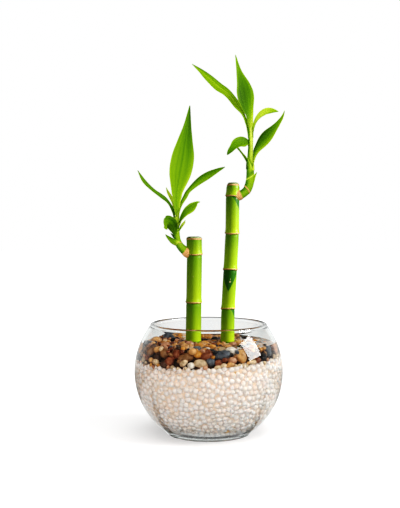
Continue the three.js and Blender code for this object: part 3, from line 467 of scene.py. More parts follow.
def crease(obj, chains):
    """Keeps the lines between neighbours in each closed chain of points sharp."""
    pairs = set()
    for chain in chains:
        pairs.update(tuple(sorted(pair)) for pair in zip(chain.tolist(), np.roll(chain, -1).tolist()))
    for line in obj.data.edges:
        line.use_edge_sharp = tuple(sorted(line.vertices)) in pairs


def arc(centre, radius, start, stop, steps):
    angle = np.radians(np.linspace(start, stop, steps + 1))
    return np.stack([centre[0] + radius * np.cos(angle), centre[1] + radius * np.sin(angle)], -1)


def cavity_radius(z, gap=0.0):
    return np.sqrt(np.maximum((CAVITY_RADIUS - gap) ** 2 - (z - BOWL_CENTRE_Z) ** 2, 0))


def cavity_floor(gap, steps):
    """The cavity's outline (radius, z) from the middle of its floor up to the round wall."""
    top = np.array([cavity_radius(CAVITY_CORNER_TOP_Z, gap), CAVITY_CORNER_TOP_Z])
    slope = (BOWL_CENTRE_Z - CAVITY_CORNER_TOP_Z) / top[0]
    floor = CAVITY_FLOOR_Z + gap
    corner = np.array([top[0] - slope * (CAVITY_CORNER_TOP_Z - floor), floor])
    edge = np.array([CAVITY_FLOOR_RADIUS, floor])
    t = np.linspace(0, 1, steps + 1)[:, None]
    curve = (1 - t) ** 2 * edge + 2 * t * (1 - t) * corner + t ** 2 * top
    return np.vstack([[0, floor], curve])


def wall_angle(z, radius):
    return math.degrees(math.asin((z - BOWL_CENTRE_Z) / radius))


# ---- Node materials ----


class Shader:
    """The nodes of a material, or of the world, built from their inputs to their output."""

    def __init__(self, name, kind="materials"):
        self.data = getattr(bpy.data, kind).new(name)
        self.data.use_nodes = True
        self.tree = self.data.node_tree
        self.tree.nodes.clear()

    def add(self, kind, inputs=None, **settings):
        node = self.tree.nodes.new("ShaderNode" + kind)
        for key, value in settings.items():
            setattr(node, key, value)
        for key, value in (inputs or {}).items():
            self.feed(node.inputs[key], value)
        return node

    def feed(self, socket, value):
        if isinstance(value, bpy.types.NodeSocket):
            self.tree.links.new(value, socket)
        elif isinstance(value, tuple) and socket.type == "RGBA":
            socket.default_value = (*value, 1)
        else:
            socket.default_value = value

    def mix(self, a, b, share, blend="MIX"):
        inputs = {0: share, 6: a, 7: b}
        return self.add("Mix", inputs, data_type="RGBA", blend_type=blend).outputs[2]

    def math(self, operation, a, b):
        return self.add("Math", {0: a, 1: b}, operation=operation).outputs[0]

    def spread(self, value, low, high, to_low=0.0, to_high=1.0):
        """The value, with low to high spread over to_low to to_high and held at both ends."""
        inputs = {"Value": value, "From Min": low, "From Max": high, "To Min": to_low, "To Max": to_high}
        return self.add("MapRange", inputs).outputs["Result"]

    def graded(self, value, stops):
        """A colour that runs through the stops, which are (value, colour) pairs in rising order."""
        colour = stops[0][1]
        for (low, _), (high, after) in zip(stops, stops[1:]):
            colour = self.mix(colour, after, self.spread(value, low, high))
        return colour

    def value_of(self, name):
        return self.add("Attribute", attribute_name=name).outputs["Fac"]

    def colour_of(self, name):
        return self.add("Attribute", attribute_name=name).outputs["Color"]

    def place(self, stretch=(1, 1, 1), source="Object"):
        """The place on the piece, in metres or as UV, multiplied along each axis."""
        coordinates = self.add("TexCoord").outputs[source]
        return self.add("Mapping", {"Vector": coordinates, "Scale": stretch}).outputs[0]

    def noise(self, scale, detail, roughness=0.5, stretch=(1, 1, 1), source="Object"):
        inputs = {"Scale": scale, "Detail": detail, "Roughness": roughness}
        return self.add("TexNoise", {"Vector": self.place(stretch, source), **inputs}).outputs[0]

    def bump(self, height, strength, distance):
        inputs = {"Height": height, "Strength": strength, "Distance": distance}
        return self.add("Bump", inputs).outputs[0]

    def either(self, share, first, second):
        """The first surface where share is 0, and the second where it is 1."""
        return self.add("MixShader", {0: share, 1: first.outputs[0], 2: second.outputs[0]})

    def finish(self, surface, kind="OutputMaterial"):
        self.add(kind, {"Surface": surface.outputs[0]})
        return self.data

    def skin(self, colour, roughness, specular, normal, more=None):
        """The finished material of an opaque surface."""
        inputs = {
            "Base Color": colour, "Roughness": roughness, "Specular IOR Level": specular,
            "Normal": normal, **(more or {})}
        return self.finish(self.add("BsdfPrincipled", inputs))


def clear_material(name, tint, ior, wave_scale, wave_height):
    """Clear glass or water. Light from lamps and light from rough surfaces goes straight through."""
    shader = Shader(name)
    normal = shader.bump(shader.noise(wave_scale, 1.0), 1.0, wave_height)
    glass = shader.add("BsdfGlass", {"Color": tint, "Roughness": 0.0, "IOR": ior, "Normal": normal})
    through = shader.add("BsdfTransparent", {"Color": tint})
    path = shader.add("LightPath").outputs
    straight = shader.math("MAXIMUM", path["Is Shadow Ray"], path["Is Diffuse Ray"])
    return shader.finish(shader.either(straight, glass, through))


def gravel_material():
    """Milky quartz. Light spreads inside a grain, so its edges stay soft."""
    shader = Shader("white_quartz")
    tint = shader.colour_of("tint")
    warm = shader.mix(tint, (0.90, 0.70, 0.55), 0.35)
    colour = shader.mix(tint, warm, shader.spread(shader.noise(420, 3.0), 0.45, 0.8))
    normal = shader.bump(shader.noise(700, 2.0), 0.2, 0.0003)
    milk = {"Subsurface Weight": 0.8, "Subsurface Radius": (1.0, 0.85, 0.75), "Subsurface Scale": 0.003}
    return shader.skin(colour, 0.5, 0.25, normal, milk)


def pebble_material():
    """Tumbled stone, each in its own colour."""
    shader = Shader("river_stone")
    tint = shader.colour_of("tint")
    mottle = shader.noise(260, 5.0, 0.65)
    speck = shader.noise(1500, 2.0)
    dark = shader.mix(tint, (0.5, 0.44, 0.4), 1.0, "MULTIPLY")
    colour = shader.mix(dark, tint, shader.spread(mottle, 0.34, 0.58))
    light = shader.mix(tint, (0.75, 0.62, 0.48), 0.35)
    colour = shader.mix(colour, light, shader.spread(speck, 0.6, 0.78))
    return shader.skin(colour, 0.36, 0.5, shader.bump(shader.noise(700, 4.0), 0.3, 0.0004))


def bed_material(name, colour, other, scale):
    """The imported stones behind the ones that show."""
    shader = Shader(name)
    cells = shader.add("TexVoronoi", {"Vector": shader.place(), "Scale": scale}).outputs["Distance"]
    mixed = shader.mix(colour, other, shader.spread(cells, 0.15, 0.6))
    return shader.skin(mixed, 0.7, 0.5, shader.bump(cells, 0.8, 0.001))


def cane_material():
    """Green rind: dark below each ring and lime towards the next one down, with tan rings."""
    shader = Shader("cane_rind")
    streaks = shader.noise(900, 3.0, 0.6, (1, 1, 0.03))
    blotches = shader.noise(90, 2.0, stretch=(1, 1, 0.5))
    grain = shader.noise(1400, 3.0, 0.7, (1, 1, 1.6))
    ring = shader.value_of("ring")
    colour = shader.mix((0.095, 0.225, 0.003), (0.34, 0.49, 0.010), shader.value_of("age"))
    colour = shader.mix(colour, (0.19, 0.35, 0.005), shader.spread(blotches, 0.35, 0.7, 0.0, 0.35))
    colour = shader.mix(colour, (0.045, 0.135, 0.002), shader.spread(streaks, 0.5, 0.75, 0.0, 0.35))
    colour = shader.mix(colour, (0.022, 0.105, 0.003), shader.value_of("patch"))
    tan = shader.mix((0.36, 0.17, 0.055), (0.66, 0.42, 0.2), shader.spread(grain, 0.35, 0.65))
    colour = shader.mix(colour, tan, ring)
    colour = shader.mix(colour, (0.55, 0.45, 0.25), shader.value_of("scar"))
    normal = shader.bump(shader.mix(streaks, grain, ring), 0.22, 0.0004)
    return shader.skin(colour, shader.spread(ring, 0.0, 1.0, 0.38, 0.73), 0.22, normal)


def wax_material():
    shader = Shader("sealing_wax")
    cloud = shader.noise(500, 4.0)
    colour = shader.mix((0.13, 0.19, 0.07), (0.34, 0.38, 0.2), shader.spread(cloud, 0.35, 0.7))
    return shader.skin(colour, 0.45, 0.35, shader.bump(cloud, 0.4, 0.0006))


def shoot_material():
    """Fleshy stem: lime with darker streaks, tan at the collar and at its scar ring."""
    shader = Shader("shoot_skin")
    streaks = shader.noise(1100, 3.0, 0.6, (1, 1, 0.06))
    grain = shader.noise(1500, 4.0, 0.7)
    ring = shader.value_of("ring")
    # pale_and_lit takes the green from dark to bright lime: a painted highlight on the right side and painted
    # shade above the seams.
    green = shader.graded(shader.value_of("pale_and_lit"), [
        (0.0, (0.055, 0.15, 0.001)), (0.5, (0.22, 0.38, 0.004)), (1.0, (0.56, 0.66, 0.10))])
    colour = shader.mix(green, (0.04, 0.13, 0.002), shader.spread(streaks, 0.5, 0.8, 0.0, 0.35))
    tan = shader.mix((0.45, 0.19, 0.06), (0.74, 0.42, 0.19), shader.spread(grain, 0.35, 0.65))
    colour = shader.mix(colour, tan, ring)
    normal = shader.bump(shader.mix(streaks, grain, ring), 0.25, 0.0004)
    return shader.skin(colour, 0.42, 0.2, normal)


def leaf_material():
    """Blade with soft parallel veins that run from base to tip."""
    shader = Shader("leaf_blade")
    veins = shader.noise(3.0, 2.0, 0.6, (12, 0.5, 1), "UV")
    broad = shader.noise(2.0, 1.0, 0.5, (4, 0.3, 1), "UV")
    # tone_and_shade holds the blade's own light and dark green together with painted light and shade.
    tone_and_shade = shader.math("ADD", shader.value_of("tone_and_shade"), shader.spread(broad, 0.3, 0.7, -0.1, 0.1))
    tone_and_shade = shader.math("ADD", tone_and_shade, shader.spread(veins, 0.3, 0.7, -0.08, 0.08))
    colour = shader.graded(tone_and_shade, [
        (0.0, (0.022, 0.065, 0.0005)), (0.35, (0.080, 0.185, 0.001)), (0.7, (0.19, 0.35, 0.003)),
        (1.0, (0.48, 0.62, 0.06))])
    colour = shader.mix(colour, (0.48, 0.60, 0.07), shader.value_of("pale_and_lit"))
    return shader.skin(colour, 0.5, 0.1, shader.bump(veins, 0.2, 0.0003))


MATERIALS = {
    "glass": clear_material("soda_glass", (0.985, 0.995, 0.99), 1.5, 30, 0.00004),
    "water": clear_material("still_water", (0.985, 0.995, 0.99), 1.333, 60, 0.0001),
    "gravel": gravel_material(),
    # The gravel depth's warm beige and orange is partly the grains' own colour and partly painted light: the
    # glow that would pass through the grains into the gaps between them.
    "gravel_bed": bed_material("gravel_depth", (0.92, 0.76, 0.64), (0.88, 0.64, 0.46), 260),
    "pebble": pebble_material(),
    "pebble_bed": bed_material("pebble_depth", (0.20, 0.11, 0.06), (0.05, 0.03, 0.02), 120),
    "cane": cane_material(),
    "wax": wax_material(),
    "shoot": shoot_material(),
    "leaf": leaf_material(),
}


def dress(obj, material, slot, *nodes):
    """Gives a piece its material, ties it to the frame and hides the solids that it stands for."""
    obj.data.materials.append(MATERIALS[material])
    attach(obj, "root")
    if nodes:
        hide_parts(*nodes)
    return obj


# ---- Bowl and water ----


# The hollow under the foot: (radius, height).
FOOT_HOLLOW = [(0, 1.7), (8, 1.6), (15, 1.2), (20, 0.6), (23, 0.1), (24, 0)]
BOWL_SIDES = 192
WATER_SIDES = 128


def foot_hollow():
    """The outline of the hollow under the foot, from the middle outwards."""
    rows = np.array(FOOT_HOLLOW)
    return np.array([rows[0], *smooth_rows(rows, np.linspace(0.05, 1, 20))])


def make_bowl():
    """One skin: the foot, the outside, the round lip and the cavity."""
    centre = (0, BOWL_CENTRE_Z)
    lip_bottom_z = LIP_CENTRE[1] - LIP_RADIUS
    foot_angle = wall_angle(FOOT_EDGE_RADIUS, BOWL_RADIUS)
    corner_angle = wall_angle(CAVITY_CORNER_TOP_Z, CAVITY_RADIUS)
    outer = arc(centre, BOWL_RADIUS, foot_angle, wall_angle(lip_bottom_z, BOWL_RADIUS), 72)
    foot_radius = outer[0][0] - FOOT_EDGE_RADIUS
    profile = np.vstack([
        foot_hollow(),
        arc((foot_radius, FOOT_EDGE_RADIUS), FOOT_EDGE_RADIUS, -90, -40, 6),
        outer,
        arc(LIP_CENTRE, LIP_RADIUS, -20, 200, 16),
        arc(centre, CAVITY_RADIUS, wall_angle(lip_bottom_z, CAVITY_RADIUS), corner_angle, 60)[:-1],
        cavity_floor(0, 24)[::-1],
    ])
    dress(turned("bowl_glass", profile, BOWL_SIDES), "glass", "bowl_glass", "bowl")


WATER_OVERLAP = 0.06
MENISCUS_HEIGHT = 1.1
MENISCUS_REACH = 1.6


def make_water():
    """Water fills the bowl between the stones, and climbs a little at the glass."""
    gap = -WATER_OVERLAP
    rim_z = WATER_Z + MENISCUS_HEIGHT
    rim = cavity_radius(rim_z, gap)
    radius = rim - np.concatenate([np.geomspace(0.05, 9, 22), np.linspace(12, rim - 1, 16)])
    climb = MENISCUS_HEIGHT * np.exp(-(rim - radius) / MENISCUS_REACH)
    angles = [wall_angle(z, CAVITY_RADIUS - gap) for z in (CAVITY_CORNER_TOP_Z, rim_z)]
    profile = np.vstack([
        cavity_floor(gap, 24)[:-1],
        arc((0, BOWL_CENTRE_Z), CAVITY_RADIUS - gap, *angles, 60),
        np.stack([radius, WATER_Z + climb], -1),
        [(0, WATER_Z)],
    ])
    dress(turned("water_body", profile, WATER_SIDES), "water", "water", "water")


# ---- Stones ----


def icosphere(subdivisions):
    ball = bmesh.new()
    bmesh.ops.create_icosphere(ball, subdivisions=subdivisions, radius=1)
    points = np.array([vertex.co for vertex in ball.verts])
    faces = np.array([[vertex.index for vertex in face.verts] for face in ball.faces])
    ball.free()
    return points, faces


def turns(x, y, z):
    """Rotation matrices from angles in radians about X, then Y, then Z."""
    cx, sx, cy, sy, cz, sz = (f(a) for a in (x, y, z) for f in (np.cos, np.sin))
    rows = [cy * cz, sx * sy * cz - cx * sz, cx * sy * cz + sx * sz,
            cy * sz, sx * sy * sz + cx * cz, cx * sy * sz - sx * cz,
            -sy, sx * cy, cx * cy]
    return np.stack(rows, -1).reshape(-1, 3, 3)


# The lumps on a stone: (waves across it, height).
LUMPS = ((1.3, 1.0), (2.4, 0.6), (4.2, 0.25))


def make_stones(name, stones, colours, subdivisions, unevenness, seed):
    """One mesh of many stones. stones has centre, half sizes and turns for each."""
    draws = np.random.default_rng(seed)
    ball, faces = icosphere(subdivisions)
    count = len(stones["centre"])
    lumps = np.zeros((count, len(ball)))
    for pitch, height in LUMPS:
        for _ in range(3):
            direction = unit(draws.normal(size=(count, 3))) * pitch
            lumps += height * np.sin(direction @ ball.T + draws.uniform(0, 6.28, (count, 1)))
    shapes = ball[None] * (1 + unevenness * lumps[..., None] / 2)
    shapes = shapes * stones["half"][:, None]
    points = np.einsum("nij,nkj->nki", stones["turn"], shapes) + stones["centre"][:, None]
    numbers = faces[None] + (np.arange(count) * len(ball))[:, None, None]
    obj = add_object(name, points.reshape(-1, 3), [numbers.reshape(-1, 3)])
    set_values(obj, "tint", np.repeat(colours, len(ball), axis=0))
    return obj


def keep_clear(centres, radii, closeness, placed):
    """The indices of the balls that stay clear of those before them, and all balls placed so far."""
    held = np.vstack([placed, np.zeros((len(centres), 4))])
    size = len(placed)
    kept = []
    for index, (centre, radius) in enumerate(zip(centres, radii)):
        away = held[:size, :3] - centre
        limit = closeness * (held[:size, 3] + radius)
        if np.any((away ** 2).sum(1) < limit ** 2):
            continue
        held[size] = (*centre, radius)
        size += 1
        kept.append(index)
    return np.array(kept, int), held[:size]


def gravel_top(x):
    return GRAVEL_TOP_Z + GRAVEL_TILT * x / CAVITY_RADIUS


def wall_points(draws, count):
    """Points on the inside of the bowl up to the gravel's surface, with their inward normals."""
    profile = np.vstack([
        cavity_floor(0, 12)[:-1],
        arc((0, BOWL_CENTRE_Z), CAVITY_RADIUS, wall_angle(CAVITY_CORNER_TOP_Z, CAVITY_RADIUS),
            wall_angle(GRAVEL_TOP_Z + GRAVEL_TILT + 2, CAVITY_RADIUS), 40)])
    middle = (profile[1:] + profile[:-1]) / 2
    step = np.diff(profile, axis=0)
    area = np.linalg.norm(step, axis=1) * middle[:, 0]
    piece = draws.choice(len(area), count, p=area / area.sum())
    share = draws.uniform(0, 1, (count, 1))
    spot = profile[piece] + share * step[piece]
    inward = unit(np.stack([-step[:, 1], step[:, 0]], -1))[piece]
    angle = draws.uniform(0, 2 * math.pi, count)
    around = np.stack([np.cos(angle), np.sin(angle)], -1)
    points = np.hstack([around * spot[:, :1], spot[:, 1:]])
    normals = np.hstack([around * inward[:, :1], inward[:, 1:]])
    return points, normals


# Layers of grains from the glass inwards. Deeper layers are scattered over some depth.
GRAIN_LAYERS = [
    {"tries": 40000, "half": (1.6, 2.45), "depth": 0.0, "scatter": 0.0, "closeness": 0.80,
     "subdivisions": 2, "nodes": ["gravel_bed"]},
    {"tries": 20000, "half": (1.6, 2.2), "depth": 1.5, "scatter": 0.5, "closeness": 0.66,
     "subdivisions": 1, "nodes": []},
]
AMBER_SHARE = 0.008


def grain_colours(draws, count):
    """Mostly white grains, some beige ones and a few amber ones."""
    white = np.array([0.95, 0.815, 0.785])
    beige = np.array([0.90, 0.70, 0.60])
    amber = np.array([0.80, 0.42, 0.12])
    share = draws.uniform(0, 1, (count, 1)) ** 2.2
    colours = white + (beige - white) * share
    colours[draws.uniform(0, 1, count) < AMBER_SHARE] = amber
    return colours


def make_gravel():
    draws = np.random.default_rng(11)
    placed = np.zeros((0, 4))
    for level, layer in enumerate(GRAIN_LAYERS):
        points, normals = wall_points(draws, layer["tries"])
        radii = draws.uniform(*layer["half"], len(points))
        radii = np.sort(radii)[::-1] if level == 0 else radii
        depth = radii * 0.99 + layer["depth"] + draws.uniform(0, 1, len(points)) * layer["scatter"]
        centres = points + normals * depth[:, None]
        surface = gravel_top(centres[:, 0]) - 0.4 * radii + draws.uniform(-0.9, 0.9, len(points))
        inside = centres[:, 2] < surface
        centres, radii = centres[inside], radii[inside]
        kept, placed = keep_clear(centres, radii, layer["closeness"], placed)
        count = len(kept)
        lean = draws.uniform(0, 2 * math.pi, (3, count))
        stones = {
            "centre": centres[kept],
            "half": radii[kept, None] * draws.uniform(0.92, 1.08, (count, 3)),
            "turn": turns(*lean),
        }
        colours = grain_colours(draws, count)
        name = f"gravel_grains_{level + 1}"
        piece = make_stones(name, stones, colours, layer["subdivisions"], 0.07, 20 + level)
        dress(piece, "gravel", "white_gravel", *layer["nodes"])


BED_SIDES = 96
BED_UNEVENNESS = 0.35
GRAVEL_BED_INSET = 2.2
GRAVEL_BED_DROP = 1.6
PEBBLE_BED_INSET = 7.5
PEBBLE_BED_DROP = 1.2
PEBBLE_BED_HEIGHT = 8.6
GRAVEL_SLOPE = GRAVEL_TILT / CAVITY_RADIUS


def make_bed(name, material, slot, rings):
    """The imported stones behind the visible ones, as one uneven body. Its rings are (radius, z, slope)."""
    draws = np.random.default_rng(31)
    points = np.array([circle(radius, z, BED_SIDES) for radius, z, _ in rings])
    points[..., 2] += np.array([slope for _, _, slope in rings])[:, None] * points[..., 0]
    points += draws.uniform(-BED_UNEVENNESS, BED_UNEVENNESS, points.shape)
    dress(tube(name, points), material, slot)


# Small stones at the glass. They rise from the gravel's surface by `rise`.
EDGE_STONES = {"tries": 260, "half": (1.2, 2.0), "rise": (-0.6, 2.2), "closeness": 0.8,
               "colours": ["cream", "tan", "rose", "orange", "cream"]}


def edge_stones(draws, held):
    """Small stones at the glass, where the pebbles meet the gravel."""
    radii = draws.uniform(*EDGE_STONES["half"], EDGE_STONES["tries"])
    angle = draws.uniform(0, 2 * math.pi, len(radii))
    z = gravel_top(CAVITY_RADIUS * np.cos(angle)) + draws.uniform(*EDGE_STONES["rise"], len(radii))
    reach = cavity_radius(z) - 0.98 * radii
    centres = np.stack([reach * np.cos(angle), reach * np.sin(angle), z], -1)
    kept, held = keep_clear(centres, radii, EDGE_STONES["closeness"], held)
    colours = draws.choice(EDGE_STONES["colours"], len(kept))
    return centres[kept], radii[kept], colours, held


def make_gravel_bed():
    rings = [(radius, z, 0.0) for radius, z in cavity_floor(GRAVEL_BED_INSET, 8)[1:]]
    top = GRAVEL_TOP_Z - GRAVEL_BED_DROP
    for share in np.linspace(0.05, 1, 28):
        z = CAVITY_CORNER_TOP_Z + (top - CAVITY_CORNER_TOP_Z) * share
        rings.append((cavity_radius(z, GRAVEL_BED_INSET), z, share * GRAVEL_SLOPE))
    make_bed("gravel_depth_bed", "gravel_bed", "white_gravel", rings)


def make_pebble_bed():
    rings = []
    for share in np.linspace(0, 1, 6):
        z = GRAVEL_TOP_Z - PEBBLE_BED_DROP + PEBBLE_BED_HEIGHT * share
        rings.append((cavity_radius(z, PEBBLE_BED_INSET), z, (1 - share) * GRAVEL_SLOPE))
    make_bed("pebble_depth_bed", "pebble_bed", "river_pebbles", rings)


def cane_spots():
    """The canes as columns of balls, so that stones lie clear of them."""
    rows = []
    for cane in CANES.values():
        for z in np.arange(62, 90, 2.0):
            x, y = axis_at(cane["axis"][:2], z)
            rows.append((x, y, z, cane["radius"]))
    return np.array(rows)


# Fallen stones, as shares of their size: how close they lie, how high they rest on the gravel,
# how far they reach up, and how far they stay from the glass.
FALL_CLOSENESS = 0.86
FALL_REST = 0.6
FALL_REACH = 0.75
FALL_GLASS = 0.95


def drop_stones(draws, count, half, held, ceiling):
    """Lets stones fall one by one onto the gravel and the stones that lie there."""
    stones = []
    for _ in range(count):
        size = draws.uniform(*half)
        reach = CAVITY_RADIUS * math.sqrt(draws.uniform(0, 1))
        angle = draws.uniform(0, 2 * math.pi)
        x, y = reach * math.cos(angle), reach * math.sin(angle)
        away = np.hypot(held[:, 0] - x, held[:, 1] - y)
        touch = FALL_CLOSENESS * (held[:, 3] + size)
        under = away < touch
        lifts = held[under, 2] + np.sqrt(touch[under] ** 2 - away[under] ** 2)
        z = max([gravel_top(x) + FALL_REST * size, *lifts])
        too_high = z + FALL_REACH * size > ceiling(x)
        if too_high or math.hypot(x, y) > cavity_radius(z) - FALL_GLASS * size:
            continue
        stones.append((x, y, z, size))
        held = np.vstack([held, stones[-1]])
    return stones, held


def pebble_ceiling(x):
    return PEBBLE_TOP_Z - PEBBLE_TILT * x / CAVITY_RADIUS


FILL_PEBBLES = [
    {"tries": 2500, "half": (4.0, 5.6)},
    {"tries": 4000, "half": (2.6, 3.8)},
    {"tries": 5000, "half": (1.6, 2.4)},
]
# How common each colour of STONE_COLOURS is among the fallen stones.
STONE_ODDS = np.array([5, 4, 5, 3, 3, 3, 3, 3, 2, 0.5])


def make_pebbles():
    """The pebbles that show, small ones at the glass, and fallen ones that fill up the layer."""
    draws = np.random.default_rng(5)
    stones = [(centre, half, (0, -math.radians(turn), 0), colour)
              for centre, half, turn, colour in SHOWN_PEBBLES]
    held = np.vstack([[(*centre, np.mean(half)) for centre, half, _, _ in stones], cane_spots()])
    centres, radii, colours, held = edge_stones(draws, held)
    for centre, size, colour in zip(centres, radii, colours):
        half = size * draws.uniform(0.85, 1.0, 3)
        stones.append((centre, half, draws.uniform(-0.5, 0.5, 3), colour))
    for tier in FILL_PEBBLES:
        fallen, held = drop_stones(draws, tier["tries"], tier["half"], held, pebble_ceiling)
        for x, y, z, size in fallen:
            half = size * np.sort(draws.uniform(0.72, 1.22, 3))[::-1]
            angles = (*draws.uniform(-0.5, 0.5, 2), draws.uniform(0, 2 * math.pi))
            colour = draws.choice(list(STONE_COLOURS), p=STONE_ODDS / STONE_ODDS.sum())
            stones.append(((x, y, z), half, angles, colour))
    centres, halves, angles, colours = zip(*stones)
    tints = np.array([STONE_COLOURS[colour] for colour in colours])
    tints = np.clip(tints * draws.uniform(0.8, 1.2, (len(tints), 1)), 0, 1)
    form = {"centre": np.array(centres), "half": np.array(halves), "turn": turns(*np.array(angles).T)}
    front = np.arange(len(stones)) < len(SHOWN_PEBBLES)
    for name, part, subdivisions, nodes in (
            ("pebbles_front", front, 4, ["pebble_layer"]), ("pebbles_fill", ~front, 3, [])):
        chosen = {key: value[part] for key, value in form.items()}
        piece = make_stones(name, chosen, tints[part], subdivisions, 0.11, 40)
        dress(piece, "pebble", "river_pebbles", *nodes)


# ---- Canes ----


def pairs_at(pairs, key):
    keys, values = np.array(pairs, float).T
    return np.interp(key, keys, values)


def axis_at(axis, z):
    axis = np.array(axis, float)
    return [np.interp(z, axis[:, 2], axis[:, k]) for k in (0, 1)]


def around_front(angle):
    """An angle from the front towards +X, brought to between -pi and pi."""
    return (angle + math.pi) % (2 * math.pi) - math.pi


CANE_SIDES = 160
CANE_STEP = 0.55
CANE_FINE_STEP = 0.12
# The raised rings: their half width, how far they wave up and down, how far the finer points
# reach, and the swelling above and the dip below each as (height, middle, half width).
RING_HALF = 0.62
RING_WAVE = 0.5
RING_REACH = 2.4
RING_SIDES = ((0.28, 1.2, 1.6), (-0.16, -1.5, 0.8))
# The cut top: how far the finer points reach, where its tan starts and ends, and its rounded edge.
CUT_REACH = 1.6
CUT_TAN = (1.5, 1.1)
CUT_EDGE = 0.35
CUT_RISE = 0.12
SCAR_RISE = 0.12


def cane_grid(cane):
    """The heights and angles of a cane's points, closer together at its rings and its cut."""
    bottom, top = cane["axis"][0][2], cane["axis"][-1][2]
    levels = [np.arange(bottom, top, CANE_STEP), [top], np.arange(top - CUT_REACH, top, CANE_FINE_STEP)]
    for ring in cane["rings"]:
        levels.append(np.arange(ring - RING_REACH, ring + RING_REACH, CANE_FINE_STEP))
    z = np.unique(np.round(np.concatenate(levels), 3))
    return np.meshgrid(z, angles_around(CANE_SIDES), indexing="ij")


def cane_rings(cane, z, angle, seed):
    """How far the surface stands out at the rings, and where it is tan."""
    rise, tan = np.zeros_like(z), np.zeros_like(z)
    for index, ring in enumerate(cane["rings"]):
        away = z - (ring + RING_WAVE * ripple(angle, seed * 10 + index))
        width = RING_HALF * (1 + 0.25 * ripple(2 * angle, seed * 10 + index + 50))
        for height, middle, half in ((RING_HEIGHT, 0, width), *RING_SIDES):
            rise += height * np.exp(-((away - middle) / half) ** 2)
        tan = np.maximum(tan, 1 - smoothstep(np.abs(away), 0.62 * width, 1.15 * width))
    return rise, tan


def cane_age(cane, z):
    """1 just above each ring, falling to 0 at the next one up."""
    edges = [PEBBLE_TOP_Z, *cane["rings"], cane["axis"][-1][2]]
    age = np.zeros_like(z)
    for low, high in zip(edges, edges[1:]):
        inside = (z >= low) & (z <= high)
        age = np.where(inside, 1 - (z - low) / (high - low), age)
    return age


def cane_patches(cane, z, front):
    """Dark patches that narrow downwards from a ring: (ring, middle, half width, length)."""
    shade = np.zeros_like(z)
    for ring, middle, half, length in cane["patches"]:
        depth = (ring - z) / length
        away = np.abs(around_front(front - math.radians(middle)))
        inside = smoothstep(math.radians(half) * (1 - depth) - away, -0.03, 0.1)
        shade = np.maximum(shade, inside * ((depth > -0.02) & (depth < 1)))
    return shade


def cane_scars(cane, z, front):
    """Small round scars: (middle, height, radius)."""
    scar = np.zeros_like(z)
    for middle, height, size in cane["scars"]:
        across = cane["radius"] * around_front(front - math.radians(middle))
        away = np.hypot(across, z - height)
        scar = np.maximum(scar, 1 - smoothstep(away, 0.4 * size, size))
    return scar


def make_cane(name, cane, seed):
    """A cane with wavy raised rings, dark patches below some of them and a few scars."""
    z, angle = cane_grid(cane)
    front = around_front(angle + math.pi / 2)
    top = cane["axis"][-1][2]
    rise, tan = cane_rings(cane, z, angle, seed)
    scar = cane_scars(cane, z, front)
    cut = smoothstep(z, *(top - depth for depth in CUT_TAN))
    radius = cane["radius"] * pairs_at(cane["taper"], z) + rise + CUT_RISE * cut + SCAR_RISE * scar
    radius -= CUT_EDGE * smoothstep(z, top - CUT_EDGE, top)
    rings = circle(radius, z, CANE_SIDES, axis_at(cane["axis"], z))
    piece = tube(name.replace("cane", "stalk"), rings)
    set_tube_values(piece, {
        "ring": np.maximum(tan, cut), "age": cane_age(cane, z),
        "patch": cane_patches(cane, z, front), "scar": scar})
    dress(piece, "cane", "cane", name)
    make_wax(name, cane)


WAX_SIDES = 96
WAX_STEPS = 14
WAX_INSET = 0.25
WAX_SINK = 0.2
WAX_FOOT = 0.9


def make_wax(name, cane):
    """A low uneven dome of wax over the cut."""
    *middle, top = cane["axis"][-1]
    radius = cane["radius"] * cane["taper"][-1][1] - WAX_INSET
    uneven = 1 + 0.015 * ripple(angles_around(WAX_SIDES), 7)
    rings = [circle(WAX_FOOT * radius, top - WAX_SINK, WAX_SIDES, middle)]
    for slant in np.linspace(0, math.pi / 2, WAX_STEPS)[:-1]:
        out = radius * math.cos(slant) ** 0.35
        up = 0.5 * WAX_GAP + WAX_HEIGHT * math.sin(slant) ** 1.4
        rings.append(circle(out * uneven, top + up, WAX_SIDES, middle))
    piece = tube(name.replace("cane", "wax_seal"), np.array(rings))
    dress(piece, "wax", "wax", name.replace("cane", "wax_cap"))


# ---- Shoots ----

SHOOT_SIDES = 72
SHOOT_STEPS = 160
# Places along a shoot run from 0 at the cane to 1 at its end. `tan` is where the collar's flare
# ends and where its colour ends. `scar` is the place of a scar ring and how far it leans. `seams`
# are the edges of leaf sheaths, as (place, lean). `swell` thickens the stem, in millimetres, and
# `pale_and_lit` is how far its right side is lightened along it: a painted highlight on the side
# towards the key light.
COLLARS = {
    "shoot_short": {
        "tan": (0.06, 0.2), "scar": (0.45, 0.035), "seams": [(0.66, -0.03)],
        "swell": [(0.6, 0), (0.72, 0.6), (1, 0.9)],
        "pale_and_lit": [(0, 0.3), (0.3, 0.4), (0.45, 0.4), (0.6, 0.5), (1, 0.65)],
    },
    "shoot_tall": {
        "tan": (0.05, 0.17), "scar": (0.36, 0.03), "seams": [(0.6, 0.084), (0.485, -0.023)],
        "swell": [(0.7, 0), (1, 0.3)],
        "pale_and_lit": [(0, 0.3), (0.35, 0.35), (0.5, 0.55), (0.7, 0.85), (1, 1.0)],
    },
}
COLLAR_FLARE = 0.35
COLLAR_RISE = 0.3
SCAR_RING_HALF = 0.011
SCAR_RING_RISE = 0.22
SEAM_HALF = 0.008
SEAM_RISE = 0.18
# Which way the side with the painted highlight faces, as shares of left and back.
PAINTED_LIT_SIDE = (0.8, 0.6)


def shoot_frames(axis, t):
    centre = smooth_rows(axis, t)
    along = tangents(axis, t)
    across = np.tile([0.0, 1.0, 0.0], (len(t), 1))
    up = unit(np.cross(along, across))
    return centre[:, :3], centre[:, 3], up, across


